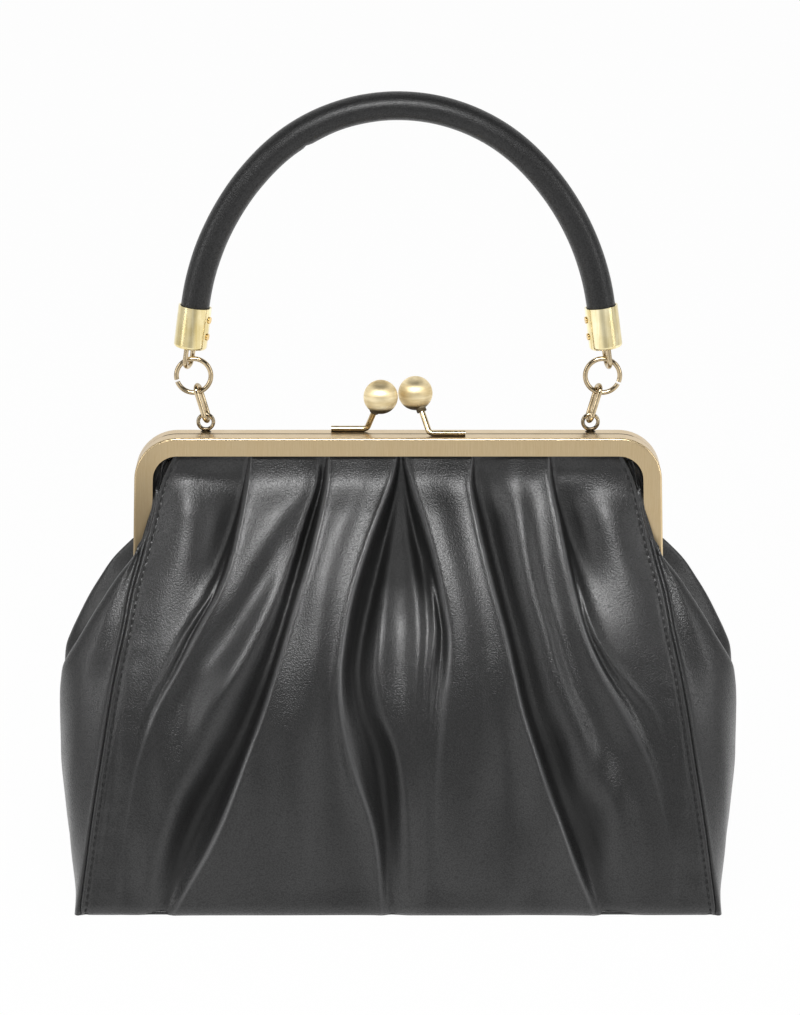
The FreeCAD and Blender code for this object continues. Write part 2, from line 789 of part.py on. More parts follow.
def pleated_section(half_width, depth, bow, pleat, z):
    """Arcs between the pleat lines, bowed forwards, and the same arcs one leather further in."""

    def point(share, bulge, inset):
        forward = depth + bow * (1 - share * share) + bulge - inset
        return VECTOR(share * half_width, -forward, z)

    def row(inset):
        edges = []
        for left, right in zip(PLEAT_LINE_SHARES, PLEAT_LINE_SHARES[1:]):
            middle = point((left + right) / 2, pleat, inset)
            edges.append(arc_edge(point(left, 0, inset), middle, point(right, 0, inset)))
        return edges

    inset = size_of("leather")
    outer = row(0)
    inner = row(inset)
    ends = []
    for share in (PLEAT_LINE_SHARES[0], PLEAT_LINE_SHARES[-1]):
        ends.append(Part.LineSegment(point(share, 0, 0), point(share, 0, inset)).toShape())
    return Part.Wire(Part.__sortEdges__(outer + inner + ends))


SPLIT_Z = size_of("hinge_height") + size_of("split_rise")
SPLIT_HALF_WIDTH = size_of("frame_width") / 2 - size_of("split_inset")
HEAD_TOP_Z = size_of("frame_top") - size_of("rail_wall") - size_of("head_clearance")


def wall_level(index):
    """Height, seam half width and half depth of the leather walls at one level."""
    height = LEVEL_SHARES[index] * SPLIT_Z
    half_width = between(size_of("base_width") / 2, SPLIT_HALF_WIDTH, SEAM_SHARES[index])
    half_depth = between(size_of("base_depth"), size_of("split_depth"), DEPTH_SHARES[index]) / 2
    return height, half_width, half_depth


def lower_panel(label, is_front):
    sections = []
    for index in range(len(LEVEL_SHARES)):
        height, half_width, half_depth = wall_level(index)
        bow = size_of("panel_bow") * BOW_SHARES[index]
        pleat = size_of("pleat_depth") * PLEAT_SHARES[index] + size_of("seam_gap")
        sections.append(pleated_section(half_width, half_depth, bow, pleat, height))
    panel = loft(label, sections)
    if not is_front:
        panel.Placement = HALF_TURN
    return panel


def panel_head(label, is_front):
    sections = []
    first_z = SPLIT_Z + size_of("lap_gap")
    first_depth = size_of("split_depth") / 2 - size_of("lap_room")
    top_half_width = size_of("frame_width") / 2 - size_of("head_inset")
    for index, share in enumerate(HEAD_LEVEL_SHARES):
        height = between(first_z, HEAD_TOP_Z, share)
        half_width = between(SPLIT_HALF_WIDTH, top_half_width, HEAD_SEAM_SHARES[index])
        half_depth = between(first_depth, size_of("head_depth") / 2, HEAD_DEPTH_SHARES[index])
        bow = size_of("panel_bow") * HEAD_BOW_SHARES[index]
        pleat = size_of("pleat_depth") * HEAD_PLEAT_SHARES[index]
        sections.append(pleated_section(half_width, half_depth, bow, pleat, height))
    head = loft(label, sections)
    if not is_front:
        head.Placement = HALF_TURN
    return head


def gusset_section(index):
    """Front seam, front ridge, valley, rear ridge, rear seam, and the same points inside."""
    height, half_width, half_depth = wall_level(index)
    inset = size_of("leather")
    seam_x = half_width + size_of("seam_gap")
    ridge_x = seam_x + size_of("ridge_stand") * RIDGE_SHARES[index]
    valley_x = seam_x + size_of("ridge_stand") * VALLEY_SHARES[index]
    ridge_y = half_depth * RIDGE_DEPTH_SHARES[index]

    def half(depth_sign, inward):
        seam = VECTOR(seam_x, depth_sign * (half_depth - inward), height)
        ridge = VECTOR(ridge_x - inward, depth_sign * ridge_y, height)
        valley = VECTOR(valley_x - inward, 0, height)
        return arc_edge(seam, ridge, valley)

    edges = [half(sign, inward) for inward in (0, inset) for sign in (-1, 1)]
    for sign in (-1, 1):
        outer = VECTOR(seam_x, sign * half_depth, height)
        inner = VECTOR(seam_x, sign * (half_depth - inset), height)
        edges.append(Part.LineSegment(outer, inner).toShape())
    return Part.Wire(Part.__sortEdges__(edges))


def gusset(label, side):
    node = loft(label, [gusset_section(index) for index in range(len(LEVEL_SHARES))])
    if side < 0:
        node.Placement = HALF_TURN
    return node


def flat_sheet(label, half_width, half_depth, thickness, bottom):
    """A flat sheet with rounded corners."""
    sheet_box = primitive(
        "Part::Box",
        label + "_box",
        Length=f"2 * {half_width}",
        Width=f"2 * {half_depth}",
        Height=thickness,
    )
    sheet_box.Placement = moved(-value_of(half_width), -value_of(half_depth), value_of(bottom))
    doc.recompute()
    upright = []
    for number, edge in enumerate(sheet_box.Shape.Edges, start=1):
        first, last = (vertex.Point for vertex in edge.Vertexes)
        if abs(first.z - last.z) > value_of(thickness) / 2:
            upright.append((number, size_of("corner_round"), size_of("corner_round")))
    rounded = doc.addObject("Part::Fillet", label + "_rounded")
    rounded.Base = sheet_box
    rounded.Edges = upright
    return keep(rounded, label)


def rectangle(half_width, half_depth, z):
    corners = []
    for x_sign, y_sign in ((-1, -1), (1, -1), (1, 1), (-1, 1), (-1, -1)):
        corners.append(VECTOR(x_sign * half_width, y_sign * half_depth, z))
    return Part.makePolygon(corners)


def lining(label):
    """A thin pouch inside the lower walls, open at the top and the bottom."""
    lift = size_of("base_thickness") + size_of("board_thickness") + size_of("lining_gap")
    shells = []
    for inset in (0, size_of("lining")):
        sections = []
        for index in range(LINING_LEVELS):
            height, half_width, half_depth = wall_level(index)
            inner_x = half_width - size_of("lining_side_gap") - inset
            inner_y = half_depth - size_of("leather") - size_of("lining_gap") - inset
            sections.append(rectangle(inner_x, inner_y, max(height, lift)))
        shells.append(Part.makeLoft(sections, True, True))
    node = doc.addObject("Part::Feature", label)
    node.Shape = shells[0].cut(shells[1])
    return keep(node, label)


frame_half("front_frame_rail", True)
frame_half("rear_frame_rail", False)
channel_cord("front_channel_cord", True)
channel_cord("rear_channel_cord", False)
for half_name, half_is_front in (("front", True), ("rear", False)):
    ball_stem(f"{half_name}_ball_stem", half_is_front)
    lock_ball(f"{half_name}_ball", half_is_front)
for side_name, side_sign in SIDES:
    hinge_rivet(f"{side_name}_hinge_rivet", side_sign)
    eyelet(f"{side_name}_eyelet", side_sign)
    oval_link(f"{side_name}_link", side_sign)
    jump_ring(f"{side_name}_jump_ring", side_sign)
    bail(f"{side_name}_cap_bail", side_sign)
    cap(f"{side_name}_cap", side_sign)
    cap_pins(f"{side_name}_cap_pins", side_sign)
    gusset(f"{side_name}_gusset", side_sign)

SLEEVE_INNER = f"{cell('handle_radius')} - {cell('sleeve_wall')}"
handle_piece("handle_sleeve", (cell("handle_radius"), SLEEVE_INNER))
handle_piece("handle_core", (f"{SLEEVE_INNER} - {cell('core_clearance')}",))

for panel_name, panel_is_front in (("front", True), ("back", False)):
    lower_panel(f"{panel_name}_panel", panel_is_front)
    panel_head(f"{panel_name}_panel_head", panel_is_front)
BASE_HALF_WIDTH = f"({cell('base_width')} / 2 - {cell('seam_gap')})"
BASE_HALF_DEPTH = f"({cell('base_depth')} / 2 - {cell('leather')} - {cell('seam_gap')})"
flat_sheet("base_panel", BASE_HALF_WIDTH, BASE_HALF_DEPTH, cell("base_thickness"), "0")
flat_sheet(
    "base_board",
    f"({BASE_HALF_WIDTH} - {cell('board_margin')})",
    f"({BASE_HALF_DEPTH} - {cell('board_margin')})",
    cell("board_thickness"),
    cell("base_thickness"),
)
lining("lining")

doc.recompute()

for thing in doc.Objects:
    if "Invalid" in thing.State or "Error" in thing.State:
        raise RuntimeError(f"{thing.Label} did not build")
for label, node in sub_parts.items():
    if node.Shape.isNull() or not node.Shape.isValid():
        raise RuntimeError(f"{label} has no valid shape")

os.makedirs("parts", exist_ok=True)
for label, node in sub_parts.items():
    node.Shape.exportStep(f"parts/{label}.step")

print(f"{len(sub_parts)} sub-parts")
print(f"link pivots at x {value_of(EYELET_X):.3f}, z {value_of(LINK_PIVOT_Z):.3f}")
print(f"ring pivots at x {value_of(RING_PIVOT_X):.3f}, z {value_of(RING_PIVOT_Z):.3f}")
print(f"bail pivots at x {value_of(BAIL_PIVOT_X):.3f}, z {value_of(BAIL_PIVOT_Z):.3f}")
print(f"handle apex at z {value_of(MOUTH_Z) + value_of(HANDLE_RISE):.3f}")
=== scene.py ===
# %% [markdown]
# This lesson dresses a frame purse: a pleated black leather bag on a hinged brass frame, closed by two
# balls that snap past each other, with a rolled handle on rings. The brass comes ready made from the
# construction model, so most of the work here is leather, thread and finishes.

# %% Load the construction model
import math

import bpy
import numpy as np
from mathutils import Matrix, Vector, noise


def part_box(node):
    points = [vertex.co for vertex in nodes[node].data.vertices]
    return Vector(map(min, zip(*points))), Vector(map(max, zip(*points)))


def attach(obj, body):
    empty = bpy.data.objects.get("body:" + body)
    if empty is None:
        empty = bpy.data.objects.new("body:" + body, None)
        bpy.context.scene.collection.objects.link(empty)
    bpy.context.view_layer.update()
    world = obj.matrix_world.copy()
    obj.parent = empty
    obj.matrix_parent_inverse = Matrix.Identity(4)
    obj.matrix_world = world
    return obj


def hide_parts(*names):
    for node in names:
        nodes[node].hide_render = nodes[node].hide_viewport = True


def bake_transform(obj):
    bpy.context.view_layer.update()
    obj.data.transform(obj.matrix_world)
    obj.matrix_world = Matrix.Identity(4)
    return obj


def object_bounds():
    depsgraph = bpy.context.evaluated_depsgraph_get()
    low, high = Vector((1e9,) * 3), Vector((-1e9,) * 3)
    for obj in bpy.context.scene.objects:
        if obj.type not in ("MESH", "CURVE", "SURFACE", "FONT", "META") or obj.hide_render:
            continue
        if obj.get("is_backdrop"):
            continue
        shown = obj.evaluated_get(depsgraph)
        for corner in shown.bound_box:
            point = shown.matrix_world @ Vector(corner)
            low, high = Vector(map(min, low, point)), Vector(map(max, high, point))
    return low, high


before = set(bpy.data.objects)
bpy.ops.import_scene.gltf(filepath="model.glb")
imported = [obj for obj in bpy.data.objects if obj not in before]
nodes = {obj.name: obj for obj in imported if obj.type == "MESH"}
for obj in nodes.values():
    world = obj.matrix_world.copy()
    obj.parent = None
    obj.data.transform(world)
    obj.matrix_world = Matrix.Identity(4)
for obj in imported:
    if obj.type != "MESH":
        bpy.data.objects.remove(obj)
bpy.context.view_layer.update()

MM = 0.001

# %% [markdown]
# The camera stands two metres in front of the purse and looks a little down on it, so the top of the
# frame just shows. A long lens keeps the sides nearly parallel. It is placed first, because every
# later choice is judged through it.

# %% Camera
CAMERA_TILT = 13.6
CAMERA_PLACE = (0.0008, -2.0, 0.650)
SENSOR_WIDTH = 36
LENS = 173.05
bpy.ops.object.select_all(action="DESELECT")
bpy.ops.object.camera_add(location=CAMERA_PLACE, rotation=(math.radians(90 - CAMERA_TILT), 0, 0))
camera = bpy.context.object
camera.data.sensor_width = SENSOR_WIDTH
camera.data.lens = LENS
camera.data.clip_end = 20
bpy.context.scene.camera = camera
bpy.context.scene.view_settings.view_transform = "Standard"
print(f"camera looks down by {CAMERA_TILT} degrees")


# %% [markdown]
# Materials are node trees. One small class wraps a socket, so that the arithmetic between sockets can be
# written as plain Python: adding two wires adds a Math node, and any other node comes from its node method.

# %% A wire that does arithmetic
class Wire:
    def __init__(self, tree, socket=None):
        self.tree = tree
        self.socket = socket

    def node(self, kind, settings=None, inputs=None, output=0):
        made = self.tree.nodes.new(kind)
        for name, value in (settings or {}).items():
            setattr(made, name, value)
        for name, value in (inputs or {}).items():
            if isinstance(value, Wire):
                self.tree.links.new(value.socket, made.inputs[name])
            else:
                made.inputs[name].default_value = value
        return Wire(self.tree, made.outputs[output] if made.outputs else None)

    def maths(self, operation, first, second):
        return self.node("ShaderNodeMath", {"operation": operation}, {0: first, 1: second})

    def __add__(self, other):
        return self.maths("ADD", self, other)

    def __sub__(self, other):
        return self.maths("SUBTRACT", self, other)

    def __mul__(self, other):
        return self.maths("MULTIPLY", self, other)

    def __rsub__(self, other):
        return self.maths("SUBTRACT", other, self)

    __radd__ = __add__
    __rmul__ = __mul__

    def between(self, low, high):
        inputs = {"From Min": low, "From Max": high, "Value": self}
        return self.node("ShaderNodeMapRange", {"interpolation_type": "SMOOTHSTEP"}, inputs)

    def blend(self, first, second):
        inputs = {"Factor": self, 6: first, 7: second}
        return self.node("ShaderNodeMix", {"data_type": "RGBA"}, inputs, 2)


def new_material(name):
    material = bpy.data.materials.new(name)
    material.use_nodes = True
    tree = material.node_tree
    shader = tree.nodes["Principled BSDF"]
    place = Wire(tree).node("ShaderNodeTexCoord", output=3)
    return material, shader, place


def feed(shader, **wires):
    for name, wire in wires.items():
        socket = shader.inputs[name.replace("_", " ")]
        if isinstance(wire, Wire):
            wire.tree.links.new(wire.socket, socket)
        else:
            socket.default_value = wire


def stretched(place, scale):
    return place.node("ShaderNodeMapping", None, {"Vector": place, "Scale": scale})


def speckle(place, scale, detail=2.0, roughness=0.5):
    inputs = {"Vector": place, "Scale": scale, "Detail": detail, "Roughness": roughness}
    return place.node("ShaderNodeTexNoise", None, inputs)


def relief(place, height, strength, depth):
    inputs = {"Height": height, "Strength": strength, "Distance": depth}
    return place.node("ShaderNodeBump", None, inputs)


def axis_of(place, axis):
    return place.node("ShaderNodeSeparateXYZ", None, {0: place}, axis)


def bands(place, direction, scale, distortion):
    inputs = {"Vector": place, "Scale": scale, "Distortion": distortion}
    return place.node("ShaderNodeTexWave", {"bands_direction": direction}, inputs, 1)


print("material tools ready")


# %% [markdown]
# The leather is a soft black calf with a fine pebbled grain. A pebble is well under a millimetre across, so
# the grain is rounded cells with a finer noise over them, used both as relief and as a slight change in
# gloss. The colour drifts a little, as dyed hide does. Two marks, which the pleated sheets carry, tell where
# the sharp edge of a fold stands out and how deep a hollow lies. The edge gets a painted highlight, a paler
# colour, and a hollow gets painted shade, a darker colour, and is dull.

# %% Leather
# The rub mark carries a painted highlight: a paler line along the sharp edges of the folds.
EDGE_HIGHLIGHT_MARK = "rub_and_highlight"
# The hollow mark carries painted shade deep in the folds.
HOLLOW_SHADE_MARK = "hollow_shade"
DYE_DARK = (0.0065, 0.0065, 0.0066, 1)
DYE_LIGHT = (0.0125, 0.0125, 0.0127, 1)
# The colour of the painted shade in the hollows.
PAINTED_HOLLOW_SHADE = (0.002, 0.002, 0.002, 1)
# The colour of the painted highlight on the edges of the folds.
PAINTED_EDGE_HIGHLIGHT = (0.066, 0.066, 0.067, 1)
DRIFT_SCALE = 38
WOBBLE_SCALE = 420
FINE_GRAIN = 2.6
GRAIN_STRENGTH = 0.7
GRAIN_DEPTH = 0.0002
WAX_ROUGHNESS = 0.3


def leather(name, pebble, gloss, shine):
    material, shader, place = new_material(name)
    drift = speckle(place, DRIFT_SCALE, 3)
    wobble = speckle(place, WOBBLE_SCALE, 2)
    cells = place.node(
        "ShaderNodeTexVoronoi",
        {"feature": "SMOOTH_F1"},
        {"Vector": place, "Scale": pebble, "Smoothness": 0.7, "Randomness": 1.0},
    )
    fine = speckle(place, pebble * FINE_GRAIN, 3, 0.6)
    grain = (1 - cells) * 0.75 + fine * 0.5 + wobble * 0.06
    worn = (grain * 0.8 + drift * 0.2).between(0.35, 0.95)
    # Painted highlight: the sharp edges of the folds get a paler colour, more coat and less roughness.
    edge_highlight = place.node("ShaderNodeAttribute", {"attribute_name": EDGE_HIGHLIGHT_MARK}, output=2)
    # Painted shade: deep in a fold the colour turns darker, the coat goes and the roughness rises.
    hollow_shade = place.node("ShaderNodeAttribute", {"attribute_name": HOLLOW_SHADE_MARK}, output=2)
    tone = hollow_shade.blend(worn.blend(DYE_DARK, DYE_LIGHT), PAINTED_HOLLOW_SHADE)
    unevenness = (drift - 0.5) * 0.06 + (1 - worn) * 0.1
    feed(
        shader,
        Base_Color=edge_highlight.blend(tone, PAINTED_EDGE_HIGHLIGHT),
        Roughness=gloss + unevenness - edge_highlight * 0.05 + hollow_shade * 0.3,
        Normal=relief(place, grain, GRAIN_STRENGTH, GRAIN_DEPTH),
        IOR=shine,
        Coat_Weight=worn * 0.35 * (1 - hollow_shade) + edge_highlight * 0.3,
        Coat_Roughness=WAX_ROUGHNESS,
    )
    return material


bag_leather = leather("charcoal_bag_leather", 1600, 0.28, 1.46)
handle_leather = leather("charcoal_handle_leather", 1700, 0.32, 1.33)
print("leather:", bag_leather.name, handle_leather.name)

# %% [markdown]
# Thread is twisted, so it gets slanting ridges. The lining is a plain dark cloth with crossing threads, and
# the stiff board in the base has the mottled look of pressed fibre. Twisted paper fills the frame's
# channels and the handle.

# %% Thread, lining, board and cord
WEAVE_SCALE = 700.0
WEAVE_WANDER = 0.4

thread, thread_shader, place = new_material("black_thread")
twist = bands(place, "DIAGONAL", 900.0, 0.6)
feed(
    thread_shader,
    Base_Color=twist.blend((0.001, 0.001, 0.001, 1), (0.004, 0.004, 0.004, 1)),
    Roughness=0.55 + twist * 0.15,
    Normal=relief(place, twist, 0.5, 0.0001),
)

lining_cloth, lining_shader, place = new_material("black_lining_cloth")
warp = bands(place, "X", WEAVE_SCALE, WEAVE_WANDER)
weft = bands(place, "Z", WEAVE_SCALE, WEAVE_WANDER)
weave = warp * 0.5 + weft * 0.5
faded = (weave + speckle(place, 60) * 0.4).between(0.3, 1.2)
feed(
    lining_shader,
    Base_Color=faded.blend((0.010, 0.009, 0.010, 1), (0.032, 0.030, 0.032, 1)),
    Roughness=0.6 + weave * 0.2,
    Normal=relief(place, weave, 0.4, 0.00015),
)

fibre_board, board_shader, place = new_material("grey_fibre_board")
fibre = speckle(stretched(place, (1, 3, 1)), 350, 5, 0.7)
feed(
    board_shader,
    Base_Color=fibre.between(0.3, 0.7).blend((0.05, 0.045, 0.04, 1), (0.11, 0.10, 0.09, 1)),
    Roughness=0.75 + fibre * 0.15,
    Normal=relief(place, fibre, 0.3, 0.0002),
)

paper_cord, cord_shader, place = new_material("twisted_paper_cord")
strand = bands(place, "DIAGONAL", 260.0, 1.0)
feed(
    cord_shader,
    Base_Color=strand.blend((0.24, 0.19, 0.13, 1), (0.45, 0.38, 0.28, 1)),
    Roughness=0.8 + strand * 0.1,
    Normal=relief(place, strand, 0.5, 0.0003),
)
print("thread, lining, board and cord finishes ready")


# %% [markdown]
# Every brass on this purse is one recipe with its own strokes, tones and gloss. The frame is brushed with
# short strokes and lacquered to an antique tone, darker in the joint of its halves, and its left leg has
# painted shade. The balls are turned, so their shine is drawn out, and the broad level bands in their colour
# are brushed streaks that also paint in reflections. The caps are polished, and light upright bands in their
# colour paint in reflections. The rings, stems and eyelets are the oldest looking, with brown tarnish in
# patches. The balls and the stems' foot bars have painted shade on their undersides, and the eyelets are
# darker towards the bottom.

# %% Brass
# The colour of brown tarnish, and also of the painted shade that the brass gets.
TARNISH_AND_SHADE = (0.05, 0.036, 0.022, 1)
SCRATCH_DEPTH = 0.00008
DARKER_BELOW_AMOUNT = 0.92
# Painted shade on the undersides of the balls and the stems' foot bars; the eyelets are darker towards the
# bottom.
BALL_UNDERSIDE_SHADE = (0.2094, 0.2112)
FOOT_UNDERSIDE_SHADE = (0.1994, 0.1998)
EYELET_DARKER_BELOW = (0.1990, 0.2006)
JOINT_WIDTH = (0.0004, 0.0011)
JOINT_TOP = (0.1965, 0.1972)
JOINT_SHADE = 0.85
# The left leg of the frame gets painted shade, darkest low on the leg.
LEG_SIDE = (-0.106, -0.094)
LEG_TOP = (0.160, 0.206)
LEG_SHADE = 0.6
FINE_RUB = (260, 260, 260)


def brass(
    name, dark, light, strokes, gloss, scratch, tarnish=0.0, darker_below=None, turned=0.0, framed=False
):
    material, shader, place = new_material(name)
    stroke = speckle(stretched(place, strokes), 1, 4, 0.65)
    cloud = speckle(place, 130, 3, 0.55)
    rub_and_highlight = (stroke * 0.75 + cloud * 0.25).between(0.3, 0.72)
    tarnish_and_shade = cloud.between(0.52, 0.75) * tarnish
    # Darker below a height: painted shade on ball and foot bar undersides, and a darker bottom on the
    # eyelets.
    if darker_below:
        above = axis_of(place, 2).between(*darker_below)
        tarnish_and_shade = place.maths("MAXIMUM", tarnish_and_shade, DARKER_BELOW_AMOUNT - DARKER_BELOW_AMOUNT * above)
    if framed:
        height = axis_of(place, 2)
        near_joint = 1 - place.maths("ABSOLUTE", axis_of(place, 1), 0).between(*JOINT_WIDTH)
        # Painted shade on the left leg; the dark line in the joint of the rail halves is a dark joint.
        on_leg = (1 - axis_of(place, 0).between(*LEG_SIDE)) * (1 - height.between(*LEG_TOP))
        tarnish_and_shade = place.maths("MAXIMUM", tarnish_and_shade, JOINT_SHADE * near_joint * height.between(*JOINT_TOP))
        tarnish_and_shade = place.maths("MAXIMUM", tarnish_and_shade, LEG_SHADE * on_leg)
    feed(
        shader,
        Base_Color=tarnish_and_shade.blend(rub_and_highlight.blend(dark, light), TARNISH_AND_SHADE),
        Metallic=1.0,
        Roughness=gloss + (1 - rub_and_highlight) * 0.12 + tarnish_and_shade * 0.2,
        Anisotropic=turned,
        Normal=relief(place, stroke, scratch, SCRATCH_DEPTH),
    )
    return material


frame_brass = brass(
    "brushed_frame_brass",
    dark=(0.60, 0.455, 0.26, 1),
    light=(0.72, 0.57, 0.35, 1),
    strokes=(5200, 5200, 160),
    gloss=0.28,
    scratch=0.12,
    framed=True,
)
# The ball's colour has broad level bands: brushed streaks that also paint in the reflections of a turned
# ball.
ball_brass = brass(
    "brushed_ball_brass",
    dark=(0.60, 0.47, 0.25, 1),
    light=(0.94, 0.82, 0.55, 1),
    strokes=(50, 50, 420),
    gloss=0.46,
    scratch=0.1,
    darker_below=BALL_UNDERSIDE_SHADE,
    turned=0.65,
)
# The cap's colour has light upright bands that paint in reflections on the polished cap.
cap_brass = brass(
    "polished_cap_brass",
    dark=(0.60, 0.48, 0.21, 1),
    light=(0.99, 0.91, 0.63, 1),
    strokes=(240, 240, 6),
    gloss=0.1,
    scratch=0.03,
)
ring_brass = brass(
    "antique_ring_brass",
    dark=(0.36, 0.28, 0.17, 1),
    light=(0.64, 0.52, 0.34, 1),
    strokes=FINE_RUB,
    gloss=0.1,
    scratch=0.05,
    tarnish=0.6,
)
stem_brass = brass(
    "antique_stem_brass",
    dark=(0.40, 0.31, 0.18, 1),
    light=(0.70, 0.57, 0.36, 1),
    strokes=FINE_RUB,
    gloss=0.16,
    scratch=0.05,
    tarnish=0.3,
    darker_below=FOOT_UNDERSIDE_SHADE,
)
eyelet_brass = brass(
    "dark_eyelet_brass",
    dark=(0.10, 0.08, 0.055, 1),
    light=(0.58, 0.48, 0.32, 1),
    strokes=FINE_RUB,
    gloss=0.1,
    scratch=0.05,
    tarnish=0.9,
    darker_below=EYELET_DARKER_BELOW,
)
screw_brass = brass(
    "orange_screw_brass",
    dark=(0.60, 0.40, 0.14, 1),
    light=(0.86, 0.63, 0.28, 1),
    strokes=(900, 900, 900),
    gloss=0.18,
    scratch=0.1,
)

finish_of = {}
for node in ("front_frame_rail", "rear_frame_rail", "left_hinge_rivet", "right_hinge_rivet"):
    finish_of[node] = frame_brass
for node in ("front_ball", "rear_ball"):
    finish_of[node] = ball_brass
for side in ("left", "right"):
    finish_of[side + "_cap"] = cap_brass
    finish_of[side + "_cap_pins"] = screw_brass
    finish_of[side + "_eyelet"] = eyelet_brass
    for fitting in ("link", "jump_ring", "cap_bail"):
        finish_of[f"{side}_{fitting}"] = ring_brass
for node in ("front_ball_stem", "rear_ball_stem"):
    finish_of[node] = stem_brass
for node in ("front_channel_cord", "rear_channel_cord"):
    finish_of[node] = paper_cord
finish_of["base_board"] = fibre_board
finish_of["handle_core"] = paper_cord
for node, finish in finish_of.items():
    for spot in nodes[node].material_slots:
        spot.material = finish
print(f"{len(finish_of)} nodes take a finish")

# %% [markdown]
# The leather body is described by a few lines that run down the bag: seams, fold ridges and the valleys
# beside them. Each line has a place, in millimetres, at a row of heights. A smooth curve through those
# values gives the line at any height, and a smooth curve across the lines gives the leather. That keeps
# every fold under control, which a free simulation would not. Two more shapes are used all through: a
# straight rise from nothing to one, and a bell.

# %% Curves through chosen values
HEIGHTS = (190, 180, 165, 150, 135, 120, 105, 90, 70, 40, 0)


def rise(distance, over):
    return np.clip(distance / over, 0, 1)


def bell(distance, width):
    return np.exp(-((distance / width) ** 2))


def along(values, at, heights=HEIGHTS):
    x = np.array(heights[::-1], float)
    y = np.array(values[::-1], float)
    slope = np.gradient(y, x)
    i = np.clip(np.searchsorted(x, at) - 1, 0, len(x) - 2)
    step = x[i + 1] - x[i]
    t = np.clip((at - x[i]) / step, 0, 1)
    start = (2 * t**3 - 3 * t**2 + 1) * y[i] + (t**3 - 2 * t**2 + t) * step * slope[i]
    return start + (3 * t**2 - 2 * t**3) * y[i + 1] + (t**3 - t**2) * step * slope[i + 1]


def across(points, steps):
    """A centripetal curve through each row of points, with a number of steps between neighbours."""
    first = 2 * points[:, :1] - points[:, 1:2]
    last = 2 * points[:, -1:] - points[:, -2:-1]
    p = np.concatenate([first, points, last], axis=1)
    gap = np.sqrt(np.maximum(np.linalg.norm(p[:, 1:] - p[:, :-1], axis=2), 1e-4))
    pieces = []
    for i in range(points.shape[1] - 1):
        a, b, c, d = p[:, i], p[:, i + 1], p[:, i + 2], p[:, i + 3]
        k1 = gap[:, i][:, None]
        k2 = k1 + gap[:, i + 1][:, None]
        k3 = k2 + gap[:, i + 2][:, None]
        for n in range(steps):
            t = k1 + (k2 - k1) * n / steps
            ab = (k1 - t) / k1 * a + t / k1 * b
            bc = (k2 - t) / (k2 - k1) * b + (t - k1) / (k2 - k1) * c
            cd = (k3 - t) / (k3 - k2) * c + (t - k2) / (k3 - k2) * d
            abc = (k2 - t) / k2 * ab + t / k2 * bc
            bcd = (k3 - t) / (k3 - k1) * bc + (t - k1) / (k3 - k1) * cd
            pieces.append((k2 - t) / (k2 - k1) * abc + (t - k1) / (k2 - k1) * bcd)
    pieces.append(points[:, -1])
    return np.stack(pieces, axis=1)


print("curves ready")

# %% [markdown]
# The front and the back of the bag are each one sheet, gathered at the frame into five pleats: two knife
# pleats on each side that fold outwards, and an inverted box pleat in the middle. The lists give each
# line's place across the bag and how far it stands out of the smooth bag, from the frame down.

# %% The lines of the pleats
SEAM = (94.8, 99.4, 103.4, 107.2, 111.5, 114.4, 117.8, 120.6, 123.8, 128.6, 134.2)
SEAM_DEPTH = (5.7, 6.6, 11.0, 16.2, 22.2, 28.4, 33.6, 37.8, 41.6, 44.6, 44.8)
MIDDLE_DEPTH = (5.7, 7.2, 14.8, 22.6, 29.4, 35.2, 40.2, 44.0, 46.9, 48.4, 45.6)

